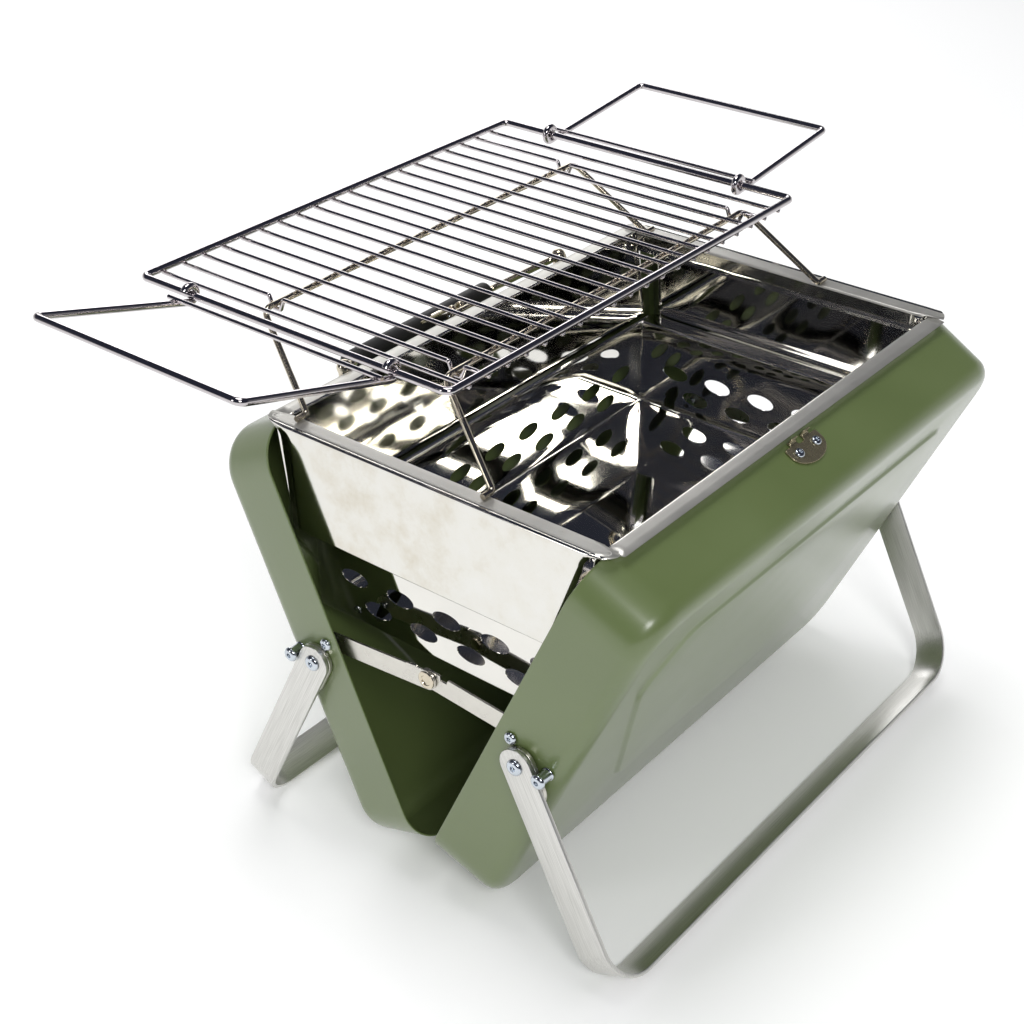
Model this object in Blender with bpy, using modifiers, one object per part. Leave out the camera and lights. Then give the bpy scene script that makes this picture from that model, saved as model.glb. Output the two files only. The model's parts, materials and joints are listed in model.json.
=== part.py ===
"""Folding camp grill: a clamshell case that opens into a V, a fire box that
hangs in it, a grid on folding wire legs, and two U-shaped stands.

Frame: +X along the hinge, +Y towards the rear half, +Z up.  Origin on the
ground, under the middle of the overall box.  Dimensions are in millimetres
here and are scaled to metres when a mesh is made.
"""
import math

import bmesh
import bpy
from mathutils import Matrix, Vector

MM = 0.001
GAP = 0.3

# ---- case -------------------------------------------------------------
HALF_LEN = 215.3          # half length of a case half at its rim
CASE_H = 303.5            # rim height of a case half, hinge side to top side
CASE_D = 53.6             # depth of a case half
DRAFT = 4.0               # how far each wall leans in over the depth
SHEET = 1.2               # case sheet thickness
CORNER_R = 30.0           # corner radius in outline
EDGE_R = 12.0             # radius between walls and the outer face
LEAN = math.radians(24.13)  # lean of each half from the vertical
PIN_U, PIN_V = -4.3, -0.8   # hinge pin, in a half's own u (up) and v (out)
RIM_Z = 43.7              # height of the rim's lower end
SN, CS = math.sin(LEAN), math.cos(LEAN)
RIM_Y = -(PIN_U * SN + PIN_V * CS)
PIN_Z = RIM_Z + PIN_U * CS - PIN_V * SN

# ---- overall box's bottom centre, seen from under the middle of the hinge
ORIGIN_X, ORIGIN_Y, ORIGIN_Z = 1.641, 41.701, 14.705

# ---- hinge ------------------------------------------------------------
KNUCKLE_R, KNUCKLE_BORE, PIN_R = 3.2, 1.75, 1.45
HINGE_HALF = 180.0
KNUCKLES = 11

# ---- stands -----------------------------------------------------------
STAND_W, STAND_T = 24.0, 3.0
STAND_SWING = math.radians(26.55)
PIVOT_U, PIVOT_V = 145.2, 24.4
STAND_X = 217.7           # inner face of a stand's arms
STAND_BEND = 32.0
STAND_R = 163.4           # pivot to the outer face of the cross bar
DOUBLER_LEN = 40.0
STOP_R = 4.0

# ---- stays ------------------------------------------------------------
STAY_U, STAY_V = 155.7, 11.3
STAY_W, STAY_T = 14.0, 1.6
STAY_MID = (-5.0, 187.6)  # y, z of the middle joint
STAY_X_REAR = 208.0       # inner faces of the bars
STAY_X_FRONT = 206.1

# ---- fire box ---------------------------------------------------------
BOX_T = 0.8
LIP_X, LIP_Y = 186.0, 122.0
END_X = 201.4
SIDE_Y = 137.0
REAR_SIDE_Y = 135.2
RAIL_Z = 321.0            # underside of the side rails' flanges
LEDGE_Z = 248.5
LIP_H = 15.5
RAIL_LEAN = 9.2           # how far a side rail's wall leans in
PAN_X, PAN_Y = 183.5, 111.5
PAN_FLOOR = 181.0
PAN_FLANGE_Z = 249.6
PAN_FLANGE_X = 198.5
HOLE_PITCH = 38.9
HOLE_A, HOLE_B = 11.5, 5.8
HOLE_Z = (215.5, 198.0)

# ---- grid -------------------------------------------------------------
GRID_Z = 381.0            # centre of the grid's frame wire
GRID_X, GRID_Y = 187.0, 130.4
GRID_SHIFT = 120.4
FRAME_R, ROD_R, LEG_R = 2.6, 1.5, 2.1
ROD_COUNT = 20
LEG_TOP_X = 163.0
LEG_Y = (14.0, 165.0)
FOOT_Y = (-39.0, 111.0)
HANDLE_R = 2.5
HANDLE_LEN = 121.0
HANDLE_HALF = 86.0
HANDLE_TILT = {"near": math.radians(16.2), "far": math.radians(6.0)}
CROSS_R, CROSS_AT = 1.6, 12.8

# ---- carry handle -----------------------------------------------------
GRIP_R, GRIP_HALF = 8.0, 76.0
BAIL_R, BAIL_REACH, MOUNT_X = 2.5, 45.0, 116.0
BAIL_U, BAIL_V = CASE_H + 6.5, 15.0
BAIL_DROP = math.radians(10.0)


# =======================================================================
# scene set-up
for ob in list(bpy.data.objects):
    bpy.data.objects.remove(ob, do_unlink=True)

PARTS = bpy.data.collections.new("folding_camp_grill")
CUTTERS = bpy.data.collections.new("cutters")
bpy.context.scene.collection.children.link(PARTS)
bpy.context.scene.collection.children.link(CUTTERS)

MATERIALS = {}


def material(name, color, rough, metal):
    mat = bpy.data.materials.new(name)
    mat.use_nodes = True
    bsdf = mat.node_tree.nodes["Principled BSDF"]
    bsdf.inputs["Base Color"].default_value = (*color, 1.0)
    bsdf.inputs["Roughness"].default_value = rough
    bsdf.inputs["Metallic"].default_value = metal
    MATERIALS[name] = mat


material("green_paint", (0.125, 0.165, 0.075), 0.45, 0.0)
material("polished_steel", (0.80, 0.79, 0.76), 0.07, 1.0)
material("brushed_aluminium", (0.70, 0.69, 0.66), 0.35, 1.0)
material("chrome_wire", (0.62, 0.60, 0.60), 0.15, 1.0)
material("nickel_wire", (0.66, 0.60, 0.49), 0.2, 1.0)
material("zinc_rivet", (0.72, 0.74, 0.76), 0.25, 1.0)
material("yellow_zinc", (0.60, 0.55, 0.40), 0.3, 1.0)
material("black_grip", (0.012, 0.012, 0.012), 0.5, 0.0)


def axis_empty(name, y, z, x=0.0):
    """An empty on a joint's axis, which carries the pieces that turn there."""
    ob = bpy.data.objects.new(name, None)
    ob.empty_display_size = 0.02
    ob.location = (x * MM, y * MM, z * MM)
    PARTS.objects.link(ob)
    return ob


def adopt(obj, parent):
    obj.parent = parent
    obj.matrix_parent_inverse = Matrix.Translation(parent.location).inverted()


# ---- local frames -----------------------------------------------------
def case_frame(side):
    """Matrix from a half's own frame (x, u, v) to the world.

    side is -1 for the front half and +1 for the rear half, which is the
    front half turned half a turn about Z.
    """
    s = float(side)
    return Matrix(((-s, 0.0, 0.0, 0.0),
                   (0.0, s * SN, s * CS, s * RIM_Y * MM),
                   (0.0, CS, -SN, RIM_Z * MM),
                   (0.0, 0.0, 0.0, 1.0)))


FRONT, REAR = case_frame(-1), case_frame(1)
CASE_FRAME = {"front": FRONT, "rear": REAR}
WORLD = Matrix.Identity(4)


def case_point(side, x, u, v):
    """World point, in mm, of a point in a half's own frame."""
    return (-side * x, side * (RIM_Y + u * SN + v * CS), RIM_Z + u * CS - v * SN)


def place_of(tag, s):
    """Which end of the case a half's own +X or -X end is on."""
    return "far" if (s > 0) == (tag == "front") else "near"


# ---- mesh helpers -----------------------------------------------------
def add_object(name, mesh, mat, frame=WORLD, parent=None, smooth=35.0,
               collection=None):
    ob = bpy.data.objects.new(name, mesh)
    (collection or PARTS).objects.link(ob)
    ob.matrix_world = frame
    if mat:
        mesh.materials.append(MATERIALS[mat])
    if smooth and isinstance(mesh, bpy.types.Mesh):
        mesh.shade_smooth()
        mesh.set_sharp_from_angle(angle=math.radians(smooth))
    if parent:
        if frame == WORLD:
            adopt(ob, parent)
        else:
            ob.parent = parent
            ob.matrix_parent_inverse = Matrix.Translation(parent.location).inverted()
    return ob


def mesh_from(bm, name):
    """Scale from mm to metres, face outwards, and hand the mesh over."""
    bmesh.ops.recalc_face_normals(bm, faces=bm.faces)
    bmesh.ops.scale(bm, vec=(MM, MM, MM), verts=bm.verts)
    me = bpy.data.meshes.new(name)
    bm.to_mesh(me)
    bm.free()
    return me


def add_box(bm, lo, hi):
    lo, hi = Vector(lo), Vector(hi)
    size, mid = hi - lo, (hi + lo) / 2
    mat = Matrix.Translation(mid) @ Matrix.Diagonal((*size, 1.0))
    return bmesh.ops.create_cube(bm, size=1.0, matrix=mat)["verts"]


def axis_matrix(a, b):
    a, b = Vector(a), Vector(b)
    rot = Vector((0, 0, 1)).rotation_difference(b - a).to_matrix().to_4x4()
    return Matrix.Translation((a + b) / 2) @ rot


def add_cyl(bm, a, b, r, seg=16, r2=None):
    """Closed cylinder or cone from a to b."""
    depth = (Vector(b) - Vector(a)).length
    return bmesh.ops.create_cone(bm, cap_ends=True, cap_tris=False, segments=seg,
                                 radius1=r, radius2=r if r2 is None else r2,
                                 depth=depth, matrix=axis_matrix(a, b))["verts"]


def add_turned(bm, profile, a, direction, seg=16):
    """Solid of revolution: profile is (radius, height) from one pole to the
    other, turned about the axis through a."""
    rot = Vector((0, 0, 1)).rotation_difference(Vector(direction)).to_matrix().to_4x4()
    mat = Matrix.Translation(Vector(a)) @ rot
    rings = []
    for r, h in profile:
        if r < 1e-6:
            rings.append([bm.verts.new(mat @ Vector((0, 0, h)))])
        else:
            rings.append([bm.verts.new(mat @ Vector((r * math.cos(2 * math.pi * i / seg),
                                                     r * math.sin(2 * math.pi * i / seg), h)))
                          for i in range(seg)])
    for p, q in zip(rings, rings[1:]):
        for i in range(seg):
            j = (i + 1) % seg
            if len(p) == 1 and len(q) > 1:
                bm.faces.new((p[0], q[i], q[j]))
            elif len(q) == 1 and len(p) > 1:
                bm.faces.new((p[i], q[0], p[j]))
            elif len(p) > 1:
                bm.faces.new((p[i], q[i], q[j], p[j]))


def rivet_profile(shank, length, head, head_h, tail=None, tail_h=1.2, hollow=1.2):
    """Pan-head hollow rivet: head above zero, shank and formed tail below."""
    tail = tail or head * 0.75
    return [(0, head_h - hollow), (head * 0.34, head_h - hollow), (head * 0.36, head_h),
            (head * 0.72, head_h), (head * 0.95, head_h * 0.6), (head, 0.0), (shank, 0.0),
            (shank, -length), (tail, -length), (tail * 0.8, -length - tail_h),
            (0, -length - tail_h)]


def rounded_rect(hx, hy, r, seg):
    pts = []
    for cx, cy, a0 in ((hx - r, hy - r, 0), (-hx + r, hy - r, 90),
                       (-hx + r, -hy + r, 180), (hx - r, -hy + r, 270)):
        for i in range(seg + 1):
            a = math.radians(a0 + 90.0 * i / seg)
            pts.append((cx + r * math.cos(a), cy + r * math.sin(a)))
    return pts


def wire(name, pts, r, mat, cyclic=False, frame=WORLD, parent=None, res=2):
    """Round wire along points in mm."""
    cu = bpy.data.curves.new(name, "CURVE")
    cu.dimensions = "3D"
    cu.bevel_depth = r * MM
    cu.bevel_resolution = res
    cu.use_fill_caps = not cyclic
    sp = cu.splines.new("POLY")
    sp.points.add(len(pts) - 1)
    for p, co in zip(sp.points, pts):
        p.co = (co[0] * MM, co[1] * MM, co[2] * MM, 1.0)
    sp.use_cyclic_u = cyclic
    cu.materials.append(MATERIALS[mat])
    ob = bpy.data.objects.new(name, cu)
    PARTS.objects.link(ob)
    ob.matrix_world = frame
    if parent:
        ob.parent = parent
        ob.matrix_parent_inverse = Matrix.Translation(parent.location).inverted()
    return ob


def bend_path(corners, radius, seg=4, cyclic=False):
    """Polyline through corners with each one rounded to an arc."""
    pts = [Vector(c) for c in corners]
    n = len(pts)
    out = []
    for i, p in enumerate(pts):
        if not cyclic and i in (0, n - 1):
            out.append(p)
            continue
        a = (pts[i - 1] - p).normalized()
        b = (pts[(i + 1) % n] - p).normalized()
        r = radius[i] if isinstance(radius, (list, tuple)) else radius
        half = a.angle(b) / 2
        if r <= 0 or half > math.radians(89):
            out.append(p)
            continue
        d = r / math.tan(half)
        centre = p + (a + b).normalized() * (r / math.sin(half))
        s, e = p + a * d - centre, p + b * d - centre
        ang = s.angle(e)
        ax = s.cross(e).normalized()
        for k in range(seg + 1):
            out.append(centre + Matrix.Rotation(ang * k / seg, 3, ax) @ s)
    return out


def plate(name, outline, thickness, mat, frame, holes=(), parent=None):
    """Flat sheet: a filled 2D outline, extruded by half its thickness."""
    cu = bpy.data.curves.new(name, "CURVE")
    cu.dimensions = "2D"
    cu.fill_mode = "BOTH"
    cu.extrude = thickness / 2 * MM
    for loop in (outline, *holes):
        sp = cu.splines.new("POLY")
        sp.points.add(len(loop) - 1)
        for p, co in zip(sp.points, loop):
            p.co = (co[0] * MM, co[1] * MM, 0.0, 1.0)
        sp.use_cyclic_u = True
    cu.materials.append(MATERIALS[mat])
    ob = bpy.data.objects.new(name, cu)
    PARTS.objects.link(ob)
    ob.matrix_world = frame
    if parent:
        ob.parent = parent
        ob.matrix_parent_inverse = Matrix.Translation(parent.location).inverted()
    return ob


def circle(cx, cy, r, seg=14):
    return [(cx + r * math.cos(2 * math.pi * i / seg), cy + r * math.sin(2 * math.pi * i / seg))
            for i in range(seg)]


def capsule(p, q, r, seg=6):
    """Outline with round ends from p to q."""
    p, q = Vector(p), Vector(q)
    a0 = math.atan2((q - p).y, (q - p).x)
    pts = []
    for c, s in ((q, a0 - math.pi / 2), (p, a0 + math.pi / 2)):
        for i in range(seg + 1):
            a = s + math.pi * i / seg
            pts.append((c.x + r * math.cos(a), c.y + r * math.sin(a)))
    return pts


def frame_yz(x, sign=1):
    """Frame whose local XY plane is the world's YZ plane at x."""
    return Matrix(((0, 0, 1, x * MM), (1, 0, 0, 0), (0, 1, 0, 0), (0, 0, 0, 1)))


def cutter(name, bm, frame=WORLD):
    me = mesh_from(bm, name)
    ob = add_object(name, me, None, frame, smooth=None, collection=CUTTERS)
    ob.hide_render = True
    ob.display_type = "WIRE"
    return ob


def cut(ob, tool, operation="DIFFERENCE"):
    mod = ob.modifiers.new(operation.lower(), "BOOLEAN")
    mod.operation = operation
    mod.solver = "EXACT"
    mod.object = tool
    return mod


# ---- axes -------------------------------------------------------------
FOLD = axis_empty("fold_axis", 0.0, PIN_Z)
AXES = {}
for tag, side in (("front", -1), ("rear", 1)):
    _, py, pz = case_point(side, 0, PIVOT_U, PIVOT_V)
    AXES[tag + "_stand"] = axis_empty(tag + "_stand_axis", py, pz)
    _, py, pz = case_point(side, 0, STAY_U, STAY_V)
    AXES[tag + "_stay"] = axis_empty(tag + "_stay_axis", py, pz)
CASE_PARENT = {"front": FOLD, "rear": None}


# =======================================================================
# case halves
def wall_x(v):
    """Half length of the outer wall at depth v."""
    return HALF_LEN - DRAFT * v / CASE_D


def build_shell(tag, side):
    frame = FRONT if side < 0 else REAR
    bm = bmesh.new()
    add_box(bm, (-HALF_LEN, 0, 0), (HALF_LEN, CASE_H, CASE_D))
    for v in bm.verts:                        # draft towards the outer face
        if v.co.z > CASE_D / 2:
            v.co.x -= math.copysign(DRAFT, v.co.x)
            v.co.y -= DRAFT if v.co.y > CASE_H / 2 else 1.0
    rim = [f for f in bm.faces if f.calc_center_median().z < 1e-6]
    bmesh.ops.delete(bm, geom=rim, context="FACES_ONLY")
    upright = [e for e in bm.edges
               if abs(e.verts[0].co.z - e.verts[1].co.z) > CASE_D / 2]
    bmesh.ops.bevel(bm, geom=upright, offset=CORNER_R, segments=5, profile=0.5,
                    affect="EDGES", clamp_overlap=False)
    face = max(bm.faces, key=lambda f: f.calc_center_median().z)
    bmesh.ops.bevel(bm, geom=list(face.edges), offset=EDGE_R, segments=3, profile=0.5,
                    affect="EDGES", clamp_overlap=False)
    # raised panel on the outer face: a wide trapezoid with soft corners
    face = max(bm.faces, key=lambda f: (round(f.calc_center_median().z, 3), f.calc_area()))
    ins = bmesh.ops.inset_region(bm, faces=[face], thickness=14.0, use_even_offset=True)
    corners = [(150.0, 262.0, 0), (-150.0, 262.0, 0), (-176.0, 222.0, 0),
               (-108.0, 70.0, 0), (108.0, 70.0, 0), (176.0, 222.0, 0)]
    loop = bend_path([Vector(c) for c in corners], 16.0, seg=3, cyclic=True)
    inner = [loop_.vert for loop_ in face.loops]
    # spread the inner face's corners along the panel's outline by angle
    centre = Vector((0.0, 160.0, 0.0))

    def ray(a):
        d = Vector((math.cos(a), math.sin(a), 0.0))
        best = None
        for p, q in zip(loop, loop[1:] + loop[:1]):
            e = q - p
            den = d.x * e.y - d.y * e.x
            if abs(den) < 1e-9:
                continue
            w = p - centre
            t = (w.x * e.y - w.y * e.x) / den
            s = (w.x * d.y - w.y * d.x) / den
            if t > 0 and -1e-6 <= s <= 1 + 1e-6 and (best is None or t < best):
                best = t
        return centre + d * best

    for v in inner:
        a = math.atan2(v.co.y - centre.y, v.co.x - centre.x)
        hit = ray(a)
        v.co.x, v.co.y = hit.x, hit.y
    face = max(bm.faces, key=lambda f: (round(f.calc_center_median().z, 3), f.calc_area())
               if len(f.verts) > 8 else (-1, 0))
    ext = bmesh.ops.inset_region(bm, faces=[face], thickness=3.0, use_even_offset=True)
    for v in face.verts:
        v.co.z -= 2.2
    me = mesh_from(bm, tag + "_shell")
    ob = add_object(tag + "_shell", me, "green_paint", frame, CASE_PARENT[tag])
    sol = ob.modifiers.new("sheet", "SOLIDIFY")
    sol.thickness = SHEET * MM
    sol.offset = -1.0
    # holes for the rivets
    bm = bmesh.new()
    for s in (-1, 1):
        for u, v, r in ((PIVOT_U, PIVOT_V, 2.8), (STAY_U, STAY_V, 2.3),
                        (STOP_U, STOP_V, 2.3)):
            add_cyl(bm, (s * 205, u, v), (s * 222, u, v), r, 12)
    for x, v in PLATE_HOLES[tag]:
        add_cyl(bm, (x, CASE_H - 12, v), (x, CASE_H + 8, v), 1.9, 12)
    cut(ob, cutter(tag + "_shell_holes", bm, frame))
    return ob


ARM_U, ARM_V = None, None
arm_dir = (math.sin(STAND_SWING), -math.cos(STAND_SWING))     # outward y, z
ARM_U = arm_dir[0] * SN + arm_dir[1] * CS
ARM_V = arm_dir[0] * CS - arm_dir[1] * SN
STOP_OFF = STAND_W / 2 + STOP_R + GAP
STOP_U = PIVOT_U + 9.0 * ARM_U + STOP_OFF * ARM_V
STOP_V = PIVOT_V + 9.0 * ARM_V - STOP_OFF * ARM_U
CATCH_X, CATCH_V = -6.4, 20.0       # middle of the catch, and its rivets
PLATE_HOLES = {"front": [(CATCH_X - 10.0, CATCH_V), (CATCH_X + 10.0, CATCH_V)],
               "rear": [(-10.0, 22.0), (10.0, 22.0), (-MOUNT_X, BAIL_V), (MOUNT_X, BAIL_V)]}

front_shell = build_shell("front", -1)
rear_shell = build_shell("rear", 1)


# =======================================================================
# piano hinge
def build_leaf(tag, side):
    frame = FRONT if side < 0 else REAR
    pitch = 2 * HINGE_HALF / KNUCKLES
    bm = bmesh.new()
    add_box(bm, (-HINGE_HALF, PIN_U + KNUCKLE_R - 0.5, PIN_V + 3.2),
            (HINGE_HALF, PIN_U + KNUCKLE_R + 0.5, 15.0))
    tool = bmesh.new()
    knuckles = [i for i in range(KNUCKLES) if (i % 2 == 0) == (side > 0)]
    for i in knuckles:
        a = -HINGE_HALF + i * pitch + GAP
        b = a + pitch - 2 * GAP
        add_cyl(tool, (a, PIN_U, PIN_V), (b, PIN_U, PIN_V), KNUCKLE_R, 10)
    ob = add_object("hinge_leaf_" + tag, mesh_from(bm, "hinge_leaf_" + tag), "green_paint",
                    frame, CASE_PARENT[tag])
    cut(ob, cutter("knuckles_" + tag, tool, frame), "UNION")
    bm = bmesh.new()
    for i in knuckles:
        a = -HINGE_HALF + i * pitch + GAP
        add_box(bm, (a, PIN_U + KNUCKLE_R - 0.5, PIN_V), (a + pitch - 2 * GAP, PIN_U + KNUCKLE_R + 0.5, PIN_V + 4.5))
    cut(ob, cutter("knuckle_tabs_" + tag, bm, frame), "UNION")
    bm = bmesh.new()
    add_cyl(bm, (-HINGE_HALF - 5, PIN_U, PIN_V), (HINGE_HALF + 5, PIN_U, PIN_V), KNUCKLE_BORE, 8)
    cut(ob, cutter("knuckle_bore_" + tag, bm, frame))


build_leaf("front", -1)
build_leaf("rear", 1)
bm = bmesh.new()
add_cyl(bm, (-HINGE_HALF - 1.5, 0, PIN_Z), (HINGE_HALF + 1.5, 0, PIN_Z), PIN_R, 8)
add_object("hinge_pin", mesh_from(bm, "hinge_pin"), "zinc_rivet")


# =======================================================================
# rivets and stop pins on the case ends
def end_rivets(name, tag, u, v, top_x, shank, length, head, head_h):
    prof = rivet_profile(shank, length, head, head_h, tail=shank + 1.4)
    for s in (-1, 1):
        bm = bmesh.new()
        add_turned(bm, prof, (s * top_x, u, v), (s, 0, 0), 10)
        full = name + "_" + place_of(tag, s)
        add_object(full, mesh_from(bm, full), "zinc_rivet", CASE_FRAME[tag], CASE_PARENT[tag])


def stop_pins(tag):
    """Stand-off pins: a collar on the wall with a domed head."""
    base = wall_x(STOP_V - 4.5) + GAP
    top = STAND_X + STAND_T + 1.0
    r = STOP_R
    tail = base - wall_x(STOP_V) + SHEET + 1.0
    prof = [(0, 1.6), (1.5, 1.6), (1.6, 2.6), (3.4, 2.5), (4.9, 1.4), (5.1, 0.0), (r, 0.0),
            (r, -(top - base)), (2.0, -(top - base)), (2.0, -(top - base) - tail - 0.8),
            (3.4, -(top - base) - tail - 0.8), (3.0, -(top - base) - tail - 1.8),
            (0, -(top - base) - tail - 1.8)]
    for s in (-1, 1):
        bm = bmesh.new()
        add_turned(bm, prof, (s * top, STOP_U, STOP_V), (s, 0, 0), 10)
        name = "%s_stop_pin_%s" % (tag, place_of(tag, s))
        add_object(name, mesh_from(bm, name), "zinc_rivet", CASE_FRAME[tag], CASE_PARENT[tag])


STAND_OUT = STAND_X + STAND_T
for tag in ("front", "rear"):
    wall_out = wall_x(STAY_V - 4.2) + GAP
    # the stay rivets also carry the stays' ends inside the wall
    end_rivets(tag + "_stay_rivet", tag, STAY_U, STAY_V, wall_out, 2.0,
               wall_out - STAY_X_FRONT + GAP, 4.4, 2.2)
    end_rivets(tag + "_stand_pivot", tag, PIVOT_U, PIVOT_V, STAND_OUT + GAP, 2.5,
               STAND_OUT + GAP - wall_x(PIVOT_V) + SHEET + 0.8, 5.6, 2.4)
    stop_pins(tag)


# =======================================================================
# stands: a flat bar bent to a U, with a doubler plate on each arm
def build_stand(tag, side):
    axis = AXES[tag + "_stand"]
    name = tag + "_stand"
    # the U lies in the plane of x and r, where r runs from the pivot down the
    # arm, and the bar's width runs along w
    r_dir = Vector((0.0, side * math.sin(STAND_SWING), -math.cos(STAND_SWING)))
    x_dir = Vector((1.0, 0.0, 0.0))
    w_dir = x_dir.cross(r_dir)
    loc = Vector(axis.location)
    frame = Matrix((( x_dir.x, r_dir.x, w_dir.x, loc.x),
                    ( x_dir.y, r_dir.y, w_dir.y, loc.y),
                    ( x_dir.z, r_dir.z, w_dir.z, loc.z),
                    (0, 0, 0, 1)))
    xo, xi = STAND_X + STAND_T, STAND_X
    outer = bend_path([Vector((-xo, -11.0, 0)), Vector((-xo, STAND_R, 0)),
                       Vector((xo, STAND_R, 0)), Vector((xo, -11.0, 0))], STAND_BEND, seg=6)
    inner = bend_path([Vector((xi, -11.0, 0)), Vector((xi, STAND_R - STAND_T, 0)),
                       Vector((-xi, STAND_R - STAND_T, 0)), Vector((-xi, -11.0, 0))],
                      STAND_BEND - STAND_T, seg=6)
    bm = bmesh.new()
    hw = STAND_W / 2
    low = [bm.verts.new((p.x, p.y, -hw)) for p in outer + inner]
    high = [bm.verts.new((p.x, p.y, hw)) for p in outer + inner]
    n, k = len(low), len(outer)
    for i in range(n):
        j = (i + 1) % n
        bm.faces.new((low[i], low[j], high[j], high[i]))
    for ring in (low, high):                  # each edge face as a strip of quads
        for i in range(k - 1):
            bm.faces.new((ring[i], ring[i + 1], ring[n - 2 - i], ring[n - 1 - i]))
    ends = [e for e in bm.edges if e.verts[0].co.y < -10.9 and e.verts[1].co.y < -10.9
            and abs(e.verts[0].co.z - e.verts[1].co.z) < 1e-6]
    bmesh.ops.bevel(bm, geom=ends, offset=10.6, segments=5, profile=0.5, affect="EDGES",
                    clamp_overlap=False)
    ob = add_object(name, mesh_from(bm, name), "brushed_aluminium", frame, axis)
    bm = bmesh.new()
    for s in (-1, 1):
        add_cyl(bm, (s * (xi - 9), 0, 0), (s * (xo + 5), 0, 0), 2.8, 14)
    cut(ob, cutter(name + "_holes", bm, frame))
    # doubler plates, between the arms and the case wall
    t0, t1 = wall_x(PIVOT_V - 12.0) + GAP, STAND_X - GAP
    for s, place in ((-1, "near"), (1, "far")):
        x = s * (t0 + t1) / 2
        flat = frame @ Matrix(((0, 0, 1, x * MM), (1, 0, 0, 0), (0, 1, 0, 0), (0, 0, 0, 1)))
        plate("%s_stand_doubler_%s" % (tag, place),
              capsule((0, 0), (DOUBLER_LEN - 22.0, 0), hw), t1 - t0, "brushed_aluminium",
              flat, [circle(0, 0, 2.8)], axis)


build_stand("front", -1)
build_stand("rear", 1)


# =======================================================================
# folding stays, one pair at each end of the case
def build_stays():
    mid = Vector(STAY_MID)
    for tag, side, x0 in (("rear", 1, STAY_X_REAR), ("front", -1, STAY_X_FRONT)):
        _, y, z = case_point(side, 0, STAY_U, STAY_V)
        end = Vector((y, z))
        for s, place in ((-1, "near"), (1, "far")):
            x = s * (x0 + STAY_T / 2)
            holes = [circle(end.x, end.y, 2.4, 12)]
            if tag == "front":
                holes.append(circle(mid.x, mid.y, 3.1, 12))
            else:
                holes.append(circle(mid.x, mid.y, 3.1, 12))
            plate("stay_%s_%s" % (tag, place), capsule(end, mid, STAY_W / 2), STAY_T,
                  "brushed_aluminium", frame_yz(x), holes, AXES[tag + "_stay"])
    # the joint rivet is in two halves: a big slotted head with a short shank in
    # each rear bar, and a formed tail in each front bar
    for s, place in ((-1, "near"), (1, "far")):
        bm = bmesh.new()
        out = STAY_X_REAR + STAY_T + 0.1
        prof = [(0, 0.9), (5.4, 0.9), (6.2, 0.5), (6.3, 0.0), (2.8, 0.0), (2.8, -STAY_T), (0, -STAY_T)]
        add_turned(bm, prof, (s * out, mid.x, mid.y), (s, 0, 0), 12)
        add_object("stay_joint_rivet_" + place, mesh_from(bm, "stay_joint_rivet"), "nickel_wire",
                   WORLD, AXES["rear_stay"])
        bm = bmesh.new()
        prof = [(0, 0.0), (2.8, 0.0), (2.8, -STAY_T - 0.1), (4.6, -STAY_T - 0.1), (4.0, -STAY_T - 1.1),
                (0, -STAY_T - 1.1)]
        add_turned(bm, prof, (s * (STAY_X_FRONT + STAY_T), mid.x, mid.y), (s, 0, 0), 12)
        add_object("stay_joint_tail_" + place, mesh_from(bm, "stay_joint_tail"), "nickel_wire",
                   WORLD, AXES["front_stay"])


build_stays()


# =======================================================================
# fire box frame
BOX = axis_empty("fire_box_axis", 0.0, RAIL_Z)


def build_end_panel(place, s):
    """Folded sheet: inner lip, top flange, outer apron and a ledge for the pan."""
    top = RAIL_Z + BOX_T + GAP + BOX_T          # top face of the end flange
    x_in, x_out = LIP_X, END_X
    # (x, z, half width towards the rear, half width towards the front)
    rows = [
        (x_in, top - LIP_H, LIP_Y - 2.4, LIP_Y - 2.4), (x_in, top - 1.5, LIP_Y - 0.8, LIP_Y - 0.8),
        (x_in + 1.5, top, LIP_Y + 3.0, LIP_Y + 3.0), (x_in + 4.5, top, SIDE_Y - 1.8, SIDE_Y - 1.8),
        (x_in + 9.0, top, SIDE_Y - 2.2, SIDE_Y - 2.2), (x_out - 3.5, top, SIDE_Y - 6.0, SIDE_Y - 6.0),
        (x_out - 0.8, top, SIDE_Y - 11.0, SIDE_Y - 11.0), (x_out, top - 1.0, SIDE_Y - 14.5, SIDE_Y - 14.5),
        (x_out, top - 3.0, 120.5, 120.5), (x_out, top - 6.5, 119.0, 119.0),
        (x_out, top - 12.9, 116.0, 117.0), (x_out, LEDGE_Z + 1.0, 112.0, 96.0),
        (x_out - 1.0, LEDGE_Z, 111.4, 95.4), (x_out - 9.0, LEDGE_Z, 110.6, 94.6)]
    bm = bmesh.new()
    cols = 3
    grid = []
    for x, z, w, wf in rows:
        grid.append([bm.verts.new((s * x, -wf + (w + wf) * i / cols, z)) for i in range(cols + 1)])
    for a, b in zip(grid, grid[1:]):
        for i in range(cols):
            vs = (a[i], a[i + 1], b[i + 1], b[i])
            bm.faces.new(vs if s < 0 else vs[::-1])
    bmesh.ops.scale(bm, vec=(MM, MM, MM), verts=bm.verts)
    me = bpy.data.meshes.new(place + "_end_panel")
    bm.to_mesh(me)
    bm.free()
    ob = add_object(place + "_end_panel", me, "polished_steel", WORLD, BOX)
    sol = ob.modifiers.new("sheet", "SOLIDIFY")
    sol.thickness = BOX_T * MM
    sol.offset = -1.0
    sol.use_even_offset = True
    return ob


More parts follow.
